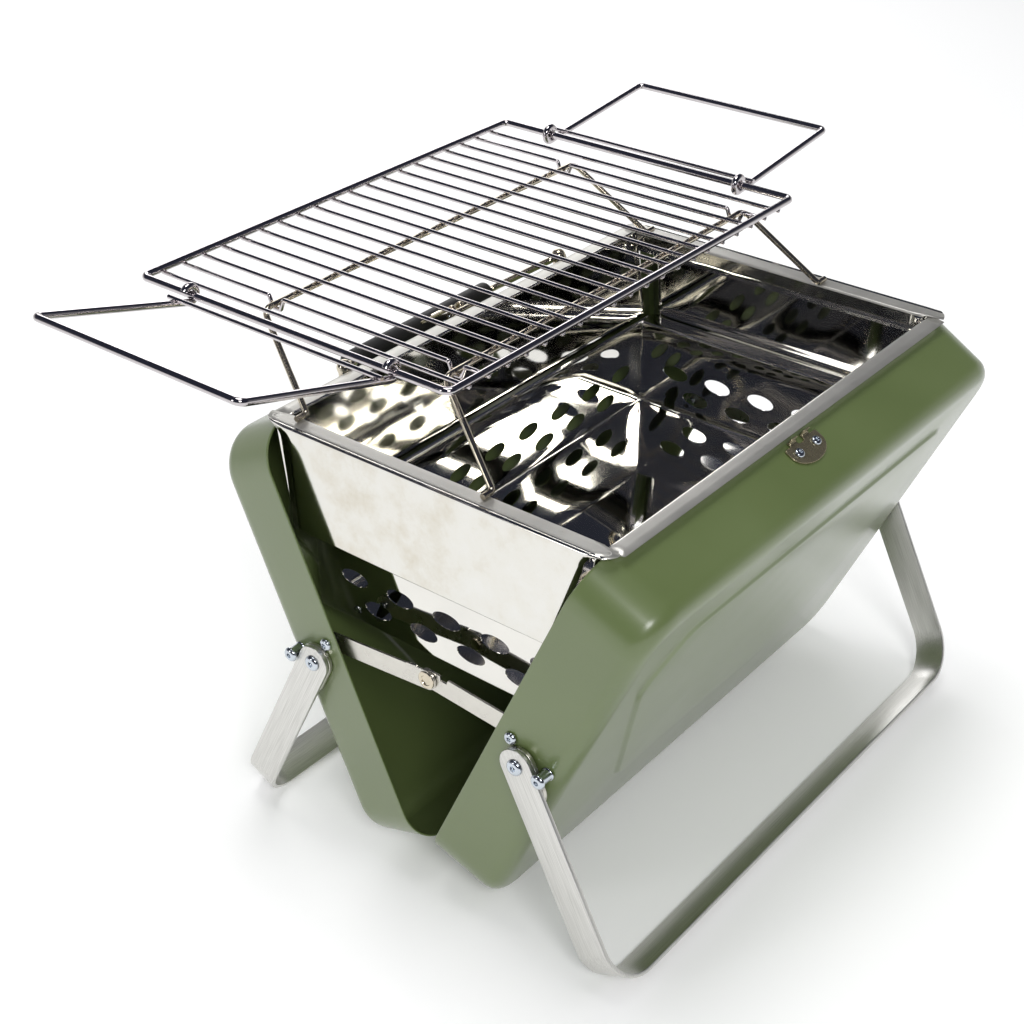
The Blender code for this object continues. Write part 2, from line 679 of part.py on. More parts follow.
def build_rail(place, s):
    """Side rail: flange on the case rim, wall down to a ledge for the pan."""
    top = RAIL_Z + BOX_T
    y0 = LIP_Y + 1.2
    edge = SIDE_Y if s < 0 else REAR_SIDE_Y
    rows = [(edge, top, 186.0), (edge - 8.0, top, 190.0), (y0 + 1.0, top, 190.0),
            (y0, top - 1.0, 198.5), (y0 - RAIL_LEAN, LEDGE_Z, 198.5)]
    bm = bmesh.new()
    cols = 4
    grid = []
    for y, z, w in rows:
        grid.append([bm.verts.new((-w + 2 * w * i / cols, s * y, z)) for i in range(cols + 1)])
    for a, b in zip(grid, grid[1:]):
        for i in range(cols):
            vs = (a[i], a[i + 1], b[i + 1], b[i])
            bm.faces.new(vs if s < 0 else vs[::-1])
    bmesh.ops.scale(bm, vec=(MM, MM, MM), verts=bm.verts)
    me = bpy.data.meshes.new(place + "_rail")
    bm.to_mesh(me)
    bm.free()
    ob = add_object(place + "_rail", me, "polished_steel", WORLD, BOX)
    sol = ob.modifiers.new("sheet", "SOLIDIFY")
    sol.thickness = BOX_T * MM
    sol.offset = -1.0
    sol.use_even_offset = True
    return ob


build_end_panel("near", -1)
build_end_panel("far", 1)
build_rail("front", -1)
build_rail("rear", 1)


# charcoal pan: an open box with a flange, and two staggered rows of air holes
def build_pan():
    bm = bmesh.new()
    add_box(bm, (-PAN_X, -PAN_Y, PAN_FLOOR), (PAN_X, PAN_Y, PAN_FLANGE_Z + BOX_T))
    top = [f for f in bm.faces if f.calc_center_median().z > PAN_FLANGE_Z]
    bmesh.ops.delete(bm, geom=top, context="FACES_ONLY")
    rim = [e for e in bm.edges if e.is_boundary
           and abs(e.verts[0].co.x - e.verts[1].co.x) < 1.0]
    low = [e for e in bm.edges if not e.is_boundary
           and max(e.verts[0].co.z, e.verts[1].co.z) < PAN_FLOOR + 1]
    ext = bmesh.ops.extrude_edge_only(bm, edges=rim)
    for v in (g for g in ext["geom"] if isinstance(g, bmesh.types.BMVert)):
        v.co.x = math.copysign(PAN_FLANGE_X, v.co.x)
        v.co.y = math.copysign(PAN_Y - 6.0, v.co.y)
    bmesh.ops.bevel(bm, geom=low, offset=2.5, segments=2, profile=0.5, affect="EDGES",
                    clamp_overlap=False)
    bmesh.ops.recalc_face_normals(bm, faces=bm.faces)
    floor = min(bm.faces, key=lambda f: f.calc_center_median().z)
    if floor.normal.z > 0:
        bmesh.ops.reverse_faces(bm, faces=bm.faces)
    bmesh.ops.scale(bm, vec=(MM, MM, MM), verts=bm.verts)
    me = bpy.data.meshes.new("charcoal_pan")
    bm.to_mesh(me)
    bm.free()
    ob = add_object("charcoal_pan", me, "polished_steel", WORLD, BOX)
    sol = ob.modifiers.new("sheet", "SOLIDIFY")
    sol.thickness = BOX_T * MM
    sol.offset = -1.0
    sol.use_even_offset = True
    tool = bmesh.new()

    def oval(cx, cy, cz, along):
        a, b = ((-3, 0, 0), (3, 0, 0)) if along == "y" else ((0, -3, 0), (0, 3, 0))
        verts = add_cyl(tool, a, b, 1.0, 8)
        wide = (1.0, HOLE_A, HOLE_B) if along == "y" else (HOLE_A, 1.0, HOLE_B)
        bmesh.ops.scale(tool, vec=wide, verts=verts)
        bmesh.ops.translate(tool, vec=(cx, cy, cz), verts=verts)

    for s in (-1, 1):
        for k in range(-2, 3):
            oval(s * PAN_X, k * HOLE_PITCH, HOLE_Z[0], "y")
        for k in range(-2, 2):
            oval(s * PAN_X, (k + 0.5) * HOLE_PITCH, HOLE_Z[1], "y")
        for k in range(-4, 5):
            oval(k * HOLE_PITCH, s * PAN_Y, HOLE_Z[0], "x")
        for k in range(-4, 4):
            oval((k + 0.5) * HOLE_PITCH, s * PAN_Y, HOLE_Z[1], "x")
    cut(ob, cutter("pan_air_holes", tool))


build_pan()


# =======================================================================
# grid, its legs and its fold handles
GRID = axis_empty("grid_axis", GRID_SHIFT, GRID_Z)


def axis_world_inverse(axis):
    bpy.context.view_layer.update()
    return axis.matrix_world.inverted()


def as_mesh(ob):
    """A curve's solid as a mesh object in its place."""
    bpy.context.view_layer.update()
    me = bpy.data.meshes.new_from_object(ob.evaluated_get(bpy.context.evaluated_depsgraph_get()))
    bm = bmesh.new()
    bm.from_mesh(me)
    bmesh.ops.remove_doubles(bm, verts=bm.verts, dist=1e-6)
    bmesh.ops.recalc_face_normals(bm, faces=bm.faces)
    bm.to_mesh(me)
    bm.free()
    name, where, parent = ob.name, ob.matrix_world.copy(), ob.parent
    cu = ob.data
    bpy.data.objects.remove(ob, do_unlink=True)
    bpy.data.curves.remove(cu)
    new = bpy.data.objects.new(name, me)
    PARTS.objects.link(new)
    me.shade_smooth()
    me.set_sharp_from_angle(angle=math.radians(50))
    if parent:
        new.parent = parent
        new.matrix_parent_inverse = parent.matrix_world.inverted()
    new.matrix_world = where
    return new


def as_cutter(ob):
    """Move a mesh object among the cutters."""
    for c in list(ob.users_collection):
        c.objects.unlink(ob)
    CUTTERS.objects.link(ob)
    ob.hide_render = True
    ob.display_type = "WIRE"
    return ob


def build_grid():
    corners = [(-GRID_X, GRID_SHIFT - GRID_Y, GRID_Z), (GRID_X, GRID_SHIFT - GRID_Y, GRID_Z),
               (GRID_X, GRID_SHIFT + GRID_Y, GRID_Z), (-GRID_X, GRID_SHIFT + GRID_Y, GRID_Z)]
    grid = as_mesh(wire("grid", bend_path(corners, 5.0, seg=3, cyclic=True), FRAME_R,
                        "chrome_wire", cyclic=True, parent=GRID))
    z = GRID_Z - FRAME_R - ROD_R + 0.7          # sunk into the frame wire by the weld
    leg_z = z - ROD_R - LEG_R - GAP
    dip = leg_z - LEG_R - ROD_R - GAP
    pitch = 2 * GRID_X / (ROD_COUNT + 1)
    y0, y1 = GRID_SHIFT - GRID_Y - 1.8, GRID_SHIFT + GRID_Y + 1.8
    bm = bmesh.new()
    for i in range(1, ROD_COUNT + 1):
        x = -GRID_X + i * pitch
        if i not in (2, ROD_COUNT - 1):
            add_cyl(bm, (x, y0, z), (x, y1, z), ROD_R, 6)
    cut(grid, cutter("grid_rods", bm), "UNION")
    for i in (2, ROD_COUNT - 1):              # these two dip round the leg wires
        x = -GRID_X + i * pitch
        path = [Vector((x, y0, z))]
        for y in LEG_Y:
            path += [Vector((x, y - 6.5, z)), Vector((x, y - 3.4, dip)),
                     Vector((x, y + 3.4, dip)), Vector((x, y + 6.5, z))]
        path.append(Vector((x, y1, z)))
        rod = as_cutter(as_mesh(wire("grid_pivot_rod_%d" % i, bend_path(path, 1.6, seg=2), ROD_R,
                                     "chrome_wire")))
        cut(grid, rod, "UNION")
    return z, leg_z


ROD_Z, LEG_Z = build_grid()


def build_legs():
    foot_z = RAIL_Z + 2 * BOX_T + 2 * GAP + LEG_R
    for tag, y_top, y_foot in (("front", LEG_Y[0], FOOT_Y[0]), ("rear", LEG_Y[1], FOOT_Y[1])):
        axis = axis_empty(tag + "_leg_axis", y_top, LEG_Z)
        adopt(axis, GRID)
        x_foot = LIP_X - LEG_R
        path = [(-x_foot - 9.0, y_foot, foot_z), (-x_foot, y_foot, foot_z),
                (-LEG_TOP_X, y_top, LEG_Z), (LEG_TOP_X, y_top, LEG_Z),
                (x_foot, y_foot, foot_z), (x_foot + 9.0, y_foot, foot_z)]
        ob = wire(tag + "_leg_wire", bend_path(path, [0, 3.0, 9.0, 9.0, 3.0, 0], seg=3), LEG_R,
                  "nickel_wire")
        ob.parent = axis


build_legs()


def build_handles():
    for place, s in (("near", -1), ("far", 1)):
        axis = axis_empty(place + "_handle_axis", GRID_SHIFT, GRID_Z, s * GRID_X)
        adopt(axis, GRID)
        hook = FRAME_R + HANDLE_R + GAP
        tilt = HANDLE_TILT[place]

        def pt(r, y, h):
            """r outwards and h up from the grid's end wire, before the tilt."""
            c, n = math.cos(tilt), math.sin(tilt)
            return Vector((s * (GRID_X + r * c - h * n), y, GRID_Z + r * n + h * c))

        def hook_path(y):
            """Once round the frame wire, ending under it, heading outwards."""
            angles = [math.radians(20 + 250 * k / 8.0) for k in range(9)]
            return [pt(hook * math.cos(a), y, hook * math.sin(a)) for a in angles]
        ya, yb = GRID_SHIFT - HANDLE_HALF, GRID_SHIFT + HANDLE_HALF
        first, last = hook_path(ya), hook_path(yb)
        bow = bend_path([first[-1], pt(HANDLE_LEN, ya, -hook), pt(HANDLE_LEN, yb, -hook),
                         last[-1]], 4.5, seg=4)
        ob = wire("grid_handle_" + place, first[:-1] + bow + last[-2::-1], HANDLE_R,
                  "chrome_wire")
        # cross wire, welded on the bow's two sides just outside the frame
        h = -hook + HANDLE_R + CROSS_R - 0.6
        ob = as_mesh(ob)
        cross = as_cutter(as_mesh(wire("handle_cross_wire_" + place,
                                       [pt(CROSS_AT, ya - 5, h), pt(CROSS_AT, yb + 5, h)],
                                       CROSS_R, "chrome_wire")))
        cut(ob, cross, "UNION")
        ob.parent = axis
        ob.matrix_parent_inverse = axis_world_inverse(axis)


build_handles()
bpy.context.view_layer.update()
for tag in ("front", "rear"):
    ob = bpy.data.objects[tag + "_leg_wire"]
    ob.matrix_parent_inverse = axis_world_inverse(ob.parent)


# =======================================================================
# carry handle on the rear half
def build_carry():
    _, by, bz = case_point(1, 0, BAIL_U, BAIL_V)
    axis = axis_empty("carry_handle_axis", by, bz)
    cu_, cv_ = -math.sin(BAIL_DROP), math.cos(BAIL_DROP)

    def pt(x, r):
        return (x, BAIL_U + cu_ * r, BAIL_V + cv_ * r)
    x1 = MOUNT_X - 1.5
    x2 = MOUNT_X - 9.5
    x3 = GRIP_HALF + 6.0
    path = [pt(-x1, 0), pt(-x2, 0), pt(-x3, BAIL_REACH), pt(x3, BAIL_REACH), pt(x2, 0), pt(x1, 0)]
    wire("carry_handle_bail", bend_path(path, [0, 4.0, 7.0, 7.0, 4.0, 0], seg=3), BAIL_R,
         "nickel_wire", frame=REAR, parent=axis, res=2)
    bm = bmesh.new()
    g = GRIP_HALF
    prof = [(BAIL_R + GAP, -g), (GRIP_R - 1.5, -g), (GRIP_R, -g + 2.5), (GRIP_R, g - 2.5),
            (GRIP_R - 1.5, g), (BAIL_R + GAP, g), (BAIL_R + GAP, -g)]
    c = pt(0, BAIL_REACH)
    seg = 14
    rings = []
    for r, h in prof[:-1]:
        rings.append([bm.verts.new((h, c[1] + r * math.cos(2 * math.pi * i / seg),
                                    c[2] + r * math.sin(2 * math.pi * i / seg))) for i in range(seg)])
    rings.append(rings[0])
    for p, q in zip(rings, rings[1:]):
        for i in range(seg):
            j = (i + 1) % seg
            bm.faces.new((p[i], q[i], q[j], p[j]))
    add_object("carry_handle_grip", mesh_from(bm, "carry_handle_grip"), "black_grip", REAR, axis)
    # domed mounts riveted through the top wall
    base = CASE_H - DRAFT * (BAIL_V - 8) / CASE_D + GAP
    h = BAIL_U - base
    prof = [(0, h + 5.6), (2.8, h + 4.9), (4.8, h + 2.8), (5.5, h), (5.3, h - 3.0), (6.4, 1.2),
            (8.0, 0.8), (8.0, 0.0), (1.6, 0.0), (1.6, -3.6), (3.0, -3.6), (2.6, -4.6), (0, -4.6)]
    for s in (-1, 1):
        name = "carry_handle_mount_" + place_of("rear", s)
        bm = bmesh.new()
        add_turned(bm, prof, (s * MOUNT_X, base, BAIL_V), (0, 1, 0), 12)
        ob = add_object(name, mesh_from(bm, name), "nickel_wire", REAR)
        bm = bmesh.new()
        add_cyl(bm, (s * (x1 + 1.0), BAIL_U, BAIL_V), (s * (x2 - 3), BAIL_U, BAIL_V),
                BAIL_R + GAP, 8)
        cut(ob, cutter(name + "_bore", bm, REAR))


build_carry()


# =======================================================================
# toggle latch on the rear half and catch plate on the front half
def top_frame(side):
    """Frame on the outer side of a half's top wall: local X along x, local Y
    along v (out from the rim), local Z away from the wall."""
    f = FRONT if side < 0 else REAR
    tilt = math.atan2(DRAFT, CASE_D)
    vy, vz = -math.sin(tilt), math.cos(tilt)     # along the wall, in (u, v)
    ny, nz = math.cos(tilt), math.sin(tilt)      # out of the wall, in (u, v)
    local = Matrix(((-1, 0, 0, 0), (0, vy, ny, CASE_H * MM), (0, vz, nz, 0), (0, 0, 0, 1)))
    return f @ local


def build_catch():
    f = top_frame(-1) @ Matrix.Translation((-CATCH_X * MM, 0, 0))
    # plate with a hooked lip towards the rim, a notch, and a rounded lower edge
    outline = [(-17, 13.5), (-11, 13.5), (-11, 10.4), (-3.5, 10.4), (-3.5, 15.0), (3.5, 15.0),
               (3.5, 10.4), (11, 10.4), (11, 13.5), (17, 13.5), (18, 18.5)]
    outline += [(18 * math.cos(a), 19.5 + 11.0 * math.sin(a)) for a in
                [math.pi * k / 10 for k in range(1, 10)]]
    outline += [(-18, 19.5)]
    holes = [circle(-10, CATCH_V, 1.9, 12), circle(10, CATCH_V, 1.9, 12)]
    t = 1.2
    ob = as_mesh(plate("catch_plate", outline, t, "yellow_zinc",
                       f @ Matrix.Translation((0, 0, (GAP + t / 2) * MM)), holes, FOLD))
    # hooked lips that the latch's loop closes over
    lip = bmesh.new()
    for s in (-1, 1):
        a, b = (4.0, 10.6)
        add_box(lip, (min(s * a, s * b), 10.2, GAP + 0.2), (max(s * a, s * b), 11.5, 4.6))
    cut(ob, cutter("catch_lips", lip, f), "UNION")
    for x, place in ((-10, "far"), (10, "near")):
        bm = bmesh.new()
        add_turned(bm, rivet_profile(1.6, 1.2 + 2 * GAP + SHEET + 0.6, 3.6, 1.6, 2.7, 1.0, 0.9),
                   (x, CATCH_V, t + 2 * GAP), (0, 0, 1), 8)
        add_object("catch_rivet_" + place, mesh_from(bm, "catch_rivet"), "zinc_rivet", f, FOLD)


LATCH_V, LATCH_N = 12.5, 5.6        # the lever's pin, from the rim and off the wall
LOOP_V, LOOP_N = 16.5, 8.7          # the loop's bar on the lever
LOOP_LEN = 31.0


def build_latch():
    f = top_frame(1)
    t = 1.2
    outline = [(-15, 8.5), (15, 8.5), (15, 27), (9, 31), (-9, 31), (-15, 27)]
    ob = as_mesh(plate("latch_base", outline, t, "nickel_wire",
                       f @ Matrix.Translation((0, 0, (GAP + t / 2) * MM)),
                       [circle(-10, 22, 1.9, 12), circle(10, 22, 1.9, 12)]))
    for x, place in ((-10, "far"), (10, "near")):
        bm = bmesh.new()
        add_turned(bm, rivet_profile(1.6, 1.2 + 2 * GAP + SHEET + 0.6, 3.2, 1.4, 2.7, 1.0, 0.8),
                   (x, 22, t + 2 * GAP), (0, 0, 1), 8)
        add_object("latch_rivet_" + place, mesh_from(bm, "latch_rivet"), "zinc_rivet", f)
    # ears that carry the lever's pin
    ears = bmesh.new()
    for s in (-1, 1):
        add_box(ears, (min(s * 11.6, s * 13.0), LATCH_V - 3.4, GAP + 0.4),
                (max(s * 11.6, s * 13.0), LATCH_V + 3.5, LATCH_N + 3.0))
    cut(ob, cutter("latch_ears", ears, f), "UNION")
    bm = bmesh.new()
    add_cyl(bm, (-16, LATCH_V, LATCH_N), (16, LATCH_V, LATCH_N), 1.4, 10)
    cut(ob, cutter("latch_ear_bore", bm, f))
    # lever: a pressed plate with a barrel round the pin
    p = f @ Vector((0, LATCH_V * MM, LATCH_N * MM))
    axis = axis_empty("latch_axis", p.y / MM, p.z / MM)
    lever = bmesh.new()
    add_cyl(lever, (-11.2, LATCH_V, LATCH_N), (11.2, LATCH_V, LATCH_N), 2.2, 12)
    ob = add_object("latch_lever", mesh_from(lever, "latch_lever"), "nickel_wire", f, axis)
    tool = bmesh.new()
    vs = add_box(tool, (-6.2, LATCH_V + 0.5, LATCH_N + 0.4), (6.2, 38.5, LATCH_N + 1.8))
    tips = [v for v in vs if v.co.y > 38]
    bmesh.ops.translate(tool, vec=(0, 0, 1.6), verts=tips)
    cut(ob, cutter("latch_lever_plate", tool, f), "UNION")
    tool = bmesh.new()
    add_cyl(tool, (-14, LATCH_V, LATCH_N), (14, LATCH_V, LATCH_N), 1.35, 10)
    cut(ob, cutter("latch_lever_bore", tool, f))
    pin = bmesh.new()
    add_cyl(pin, (-13.6, LATCH_V, LATCH_N), (13.6, LATCH_V, LATCH_N), 1.05, 10)
    add_object("latch_pin", mesh_from(pin, "latch_pin"), "zinc_rivet", f)
    # wire loop, laid back over the lever, which swings over to the catch
    q = f @ Vector((0, LOOP_V * MM, LOOP_N * MM))
    swing = axis_empty("latch_loop_axis", q.y / MM, q.z / MM)
    end = (LOOP_V + LOOP_LEN, 6.4)
    path = [(8.5, LOOP_V, LOOP_N + 0.9), (8.5, *end), (-8.5, *end), (-8.5, LOOP_V, LOOP_N + 0.9)]
    loop = bend_path([Vector(v) for v in path], 2.4, seg=3, cyclic=True)
    wire("latch_loop", loop, 1.0, "yellow_zinc", cyclic=True, frame=f, parent=swing)


build_catch()
build_latch()

# the origin goes to the ground at the middle of the overall box
bpy.context.view_layer.update()
for ob in list(bpy.data.objects):
    if ob.parent is None:
        ob.matrix_world = Matrix.Translation((-ORIGIN_X * MM, -ORIGIN_Y * MM, -ORIGIN_Z * MM)) @ ob.matrix_world
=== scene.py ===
"""Folding camp grill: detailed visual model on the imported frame."""
import json
import math

import bmesh
import bpy
from mathutils import Matrix, Vector

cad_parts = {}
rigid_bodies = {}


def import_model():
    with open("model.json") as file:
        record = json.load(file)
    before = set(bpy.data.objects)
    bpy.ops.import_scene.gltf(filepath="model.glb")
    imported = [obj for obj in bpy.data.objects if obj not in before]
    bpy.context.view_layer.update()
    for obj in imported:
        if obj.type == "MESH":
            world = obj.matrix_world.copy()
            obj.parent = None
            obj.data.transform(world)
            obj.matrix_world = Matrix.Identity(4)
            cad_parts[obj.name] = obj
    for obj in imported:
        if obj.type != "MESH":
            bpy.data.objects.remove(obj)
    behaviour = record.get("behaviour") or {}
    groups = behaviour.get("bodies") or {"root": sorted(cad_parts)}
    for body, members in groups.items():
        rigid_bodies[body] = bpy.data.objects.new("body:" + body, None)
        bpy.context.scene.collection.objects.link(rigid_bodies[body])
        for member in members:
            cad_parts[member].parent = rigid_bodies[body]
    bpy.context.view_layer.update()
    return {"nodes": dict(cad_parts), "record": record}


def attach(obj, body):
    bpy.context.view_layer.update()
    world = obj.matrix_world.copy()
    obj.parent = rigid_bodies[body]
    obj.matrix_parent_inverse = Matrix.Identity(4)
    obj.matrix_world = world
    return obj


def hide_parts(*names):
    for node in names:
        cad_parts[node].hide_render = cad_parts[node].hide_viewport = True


for _ob in list(bpy.data.objects):
    bpy.data.objects.remove(_ob, do_unlink=True)

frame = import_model()

MM = 0.001
ORIGIN = Matrix.Translation((-1.641 * MM, -41.701 * MM, -14.705 * MM))

# dimensions in millimetres, as in the model behind the frame
HALF_LEN, CASE_H, CASE_D, DRAFT = 215.3, 303.5, 53.6, 4.0
SHEET, CORNER_R, EDGE_R = 1.2, 30.0, 12.0
LEAN = math.radians(24.13)
SN, CS = math.sin(LEAN), math.cos(LEAN)
PIN_U, PIN_V, RIM_Z = -4.3, -0.8, 43.7
RIM_Y = -(PIN_U * SN + PIN_V * CS)
PIN_Z = RIM_Z + PIN_U * CS - PIN_V * SN
GAP = 0.3
STAND_W, STAND_T, STAND_X, STAND_BEND, STAND_R = 24.0, 3.0, 217.7, 32.0, 163.4
STAND_SWING = math.radians(26.55)
PIVOT_U, PIVOT_V = 145.2, 24.4
ARM_U = math.sin(STAND_SWING) * SN - math.cos(STAND_SWING) * CS
ARM_V = math.sin(STAND_SWING) * CS + math.cos(STAND_SWING) * SN
STOP_R = 4.0
STOP_OFF = STAND_W / 2 + STOP_R + GAP
STOP_U = PIVOT_U + 9.0 * ARM_U + STOP_OFF * ARM_V
STOP_V = PIVOT_V + 9.0 * ARM_V - STOP_OFF * ARM_U
STAY_U, STAY_V, STAY_W, STAY_T = 155.7, 11.3, 14.0, 1.6
STAY_MID, STAY_X_REAR, STAY_X_FRONT = (-5.0, 187.6), 208.0, 206.1
BOX_T, LIP_X, LIP_Y, END_X, SIDE_Y, REAR_SIDE_Y = 0.8, 186.0, 122.0, 201.4, 137.0, 135.2
RAIL_Z, LEDGE_Z, LIP_H, RAIL_LEAN = 321.0, 248.5, 15.5, 9.2
PAN_X, PAN_Y, PAN_FLOOR, PAN_FLANGE_Z, PAN_FLANGE_X = 183.5, 111.5, 181.0, 249.6, 198.5
HOLE_PITCH, HOLE_A, HOLE_B, HOLE_Z = 38.9, 11.5, 5.8, (215.5, 198.0)
GRID_Z, GRID_X, GRID_Y, GRID_SHIFT = 381.0, 187.0, 130.4, 120.4
FRAME_R, ROD_R, LEG_R, ROD_COUNT = 2.6, 1.5, 2.1, 20
LEG_TOP_X, LEG_Y, FOOT_Y = 163.0, (14.0, 165.0), (-39.0, 111.0)
HANDLE_R, HANDLE_LEN, HANDLE_HALF = 2.5, 121.0, 86.0
HANDLE_TILT = {"near": math.radians(16.2), "far": math.radians(6.0)}
CROSS_R, CROSS_AT = 1.6, 12.8
GRIP_R, GRIP_HALF, BAIL_R, BAIL_REACH, MOUNT_X = 8.0, 76.0, 2.5, 45.0, 116.0
BAIL_U, BAIL_V, BAIL_DROP = CASE_H + 6.5, 15.0, math.radians(10.0)
LATCH_V, LATCH_N, LOOP_V, LOOP_N, LOOP_LEN = 12.5, 5.6, 16.5, 8.7, 31.0
CATCH_X, CATCH_V = -6.4, 20.0
KNUCKLE_R, HINGE_HALF, KNUCKLES = 3.2, 180.0, 11


def case_frame(side):
    s = float(side)
    return ORIGIN @ Matrix(((-s, 0, 0, 0), (0, s * SN, s * CS, s * RIM_Y * MM),
                            (0, CS, -SN, RIM_Z * MM), (0, 0, 0, 1)))


FRONT, REAR = case_frame(-1), case_frame(1)
CASE_FRAME = {"front": FRONT, "rear": REAR}
CASE_BODY = {"front": "front_case", "rear": "rear_case"}
WORLD = ORIGIN


def case_point(side, x, u, v):
    return (-side * x, side * (RIM_Y + u * SN + v * CS), RIM_Z + u * CS - v * SN)


def place_of(tag, s):
    return "far" if (s > 0) == (tag == "front") else "near"


def top_frame(side):
    f = FRONT if side < 0 else REAR
    tilt = math.atan2(DRAFT, CASE_D)
    vy, vz = -math.sin(tilt), math.cos(tilt)
    ny, nz = math.cos(tilt), math.sin(tilt)
    return f @ Matrix(((-1, 0, 0, 0), (0, vy, ny, CASE_H * MM), (0, vz, nz, 0), (0, 0, 0, 1)))


# =======================================================================
# materials
def new_material(name):
    mat = bpy.data.materials.new(name)
    mat.use_nodes = True
    nt = mat.node_tree
    return mat, nt, nt.nodes["Principled BSDF"]


def srgb(*c):
    return tuple((v / 255 / 12.92 if v / 255 <= 0.04045 else ((v / 255 + 0.055) / 1.055) ** 2.4)
                 for v in c)


def node(nt, kind, **values):
    n = nt.nodes.new(kind)
    for k, v in values.items():
        if k in n.inputs:
            n.inputs[k].default_value = v
        else:
            setattr(n, k, v)
    return n


def coords(nt, scale=(1, 1, 1), rotation=(0, 0, 0)):
    tc = node(nt, "ShaderNodeTexCoord")
    mp = node(nt, "ShaderNodeMapping")
    mp.inputs["Scale"].default_value = scale
    mp.inputs["Rotation"].default_value = rotation
    nt.links.new(tc.outputs["Object"], mp.inputs["Vector"])
    return mp.outputs["Vector"]


def noise(nt, vec, scale, detail=4.0, rough=0.5):
    n = node(nt, "ShaderNodeTexNoise")
    n.inputs["Scale"].default_value = scale
    n.inputs["Detail"].default_value = detail
    n.inputs["Roughness"].default_value = rough
    nt.links.new(vec, n.inputs["Vector"])
    return n.outputs["Fac"]


def ramp(nt, fac, stops):
    r = node(nt, "ShaderNodeValToRGB")
    while len(r.color_ramp.elements) < len(stops):
        r.color_ramp.elements.new(0.5)
    for e, (pos, col) in zip(r.color_ramp.elements, stops):
        e.position = pos
        e.color = (*col, 1.0) if len(col) == 3 else col
    nt.links.new(fac, r.inputs["Fac"])
    return r.outputs["Color"]


def remap(nt, fac, lo, hi, a=0.3, b=0.7):
    m = node(nt, "ShaderNodeMapRange")
    m.inputs["From Min"].default_value = a
    m.inputs["From Max"].default_value = b
    m.inputs["To Min"].default_value = lo
    m.inputs["To Max"].default_value = hi
    nt.links.new(fac, m.inputs["Value"])
    return m.outputs["Result"]


def math_node(nt, op, a, b):
    m = node(nt, "ShaderNodeMath", operation=op)
    for i, v in enumerate((a, b)):
        if isinstance(v, (int, float)):
            m.inputs[i].default_value = v
        else:
            nt.links.new(v, m.inputs[i])
    return m.outputs[0]


def bump(nt, bsdf, height, strength, distance):
    b = node(nt, "ShaderNodeBump")
    b.inputs["Strength"].default_value = strength
    b.inputs["Distance"].default_value = distance
    nt.links.new(height, b.inputs["Height"])
    nt.links.new(b.outputs["Normal"], bsdf.inputs["Normal"])
    return b


def green_paint():
    """Satin powder coat: olive green with a fine orange-peel and slight rub marks."""
    mat, nt, bsdf = new_material("green_powder_coat")
    vec = coords(nt)
    broad = noise(nt, vec, 9.0, 3.0)
    fine = noise(nt, vec, 900.0, 2.0)
    col = ramp(nt, broad, [(0.3, srgb(88, 103, 57)), (0.55, srgb(93, 108, 61)), (0.8, srgb(97, 112, 66))])
    nt.links.new(col, bsdf.inputs["Base Color"])
    nt.links.new(remap(nt, broad, 0.40, 0.50), bsdf.inputs["Roughness"])
    bsdf.inputs["Specular IOR Level"].default_value = 0.5
    bsdf.inputs["Coat Weight"].default_value = 0.9
    bsdf.inputs["Coat Roughness"].default_value = 0.24
    bsdf.inputs["Coat IOR"].default_value = 1.5
    peel = noise(nt, vec, 420.0, 2.0)
    bump(nt, bsdf, math_node(nt, "ADD", peel, math_node(nt, "MULTIPLY", fine, 0.4)), 0.12, 0.0004)
    return mat


def mirror_steel(name, rough=(0.012, 0.04), tint=srgb(232, 230, 224), wave=0.035, smudge=0.6):
    """Bright-annealed stainless sheet: slightly wavy, with faint rolling lines and smudges."""
    mat, nt, bsdf = new_material(name)
    vec = coords(nt)
    lines = noise(nt, coords(nt, (6.0, 6.0, 700.0)), 2.0, 3.0)
    cloud = noise(nt, vec, 14.0, 4.0, 0.6)
    wavy = noise(nt, vec, 7.0, 1.5, 0.4)
    dark = tuple(c * 0.90 for c in tint)
    col = ramp(nt, cloud, [(0.25, dark), (0.75, tint)])
    nt.links.new(col, bsdf.inputs["Base Color"])
    bsdf.inputs["Metallic"].default_value = 1.0
    r = math_node(nt, "ADD", remap(nt, cloud, rough[0], rough[1]), remap(nt, lines, 0.0, 0.03))
    nt.links.new(r, bsdf.inputs["Roughness"])
    h = math_node(nt, "ADD", wavy, math_node(nt, "MULTIPLY", lines, 0.004))
    bump(nt, bsdf, h, wave, 0.006)
    return mat


def satin_sheet():
    """The frame's outer faces and flanges: the same sheet with a softer, whiter reflection."""
    mat, nt, bsdf = new_material("satin_stainless")
    vec = coords(nt)
    cloud = noise(nt, vec, 11.0, 5.0, 0.65)
    stain = noise(nt, vec, 38.0, 6.0, 0.7)
    col = ramp(nt, math_node(nt, "MULTIPLY", math_node(nt, "ADD", cloud, stain), 0.5),
               [(0.35, srgb(208, 202, 188)), (0.5, srgb(222, 220, 213)), (0.65, srgb(226, 225, 221))])
    nt.links.new(col, bsdf.inputs["Base Color"])
    bsdf.inputs["Metallic"].default_value = 1.0
    nt.links.new(remap(nt, stain, 0.05, 0.12), bsdf.inputs["Roughness"])
    lines = noise(nt, coords(nt, (500.0, 8.0, 8.0)), 3.0, 2.0)
    bump(nt, bsdf, math_node(nt, "ADD", noise(nt, vec, 9.0, 2.0),
                             math_node(nt, "MULTIPLY", lines, 0.01)), 0.08, 0.004)
    return mat


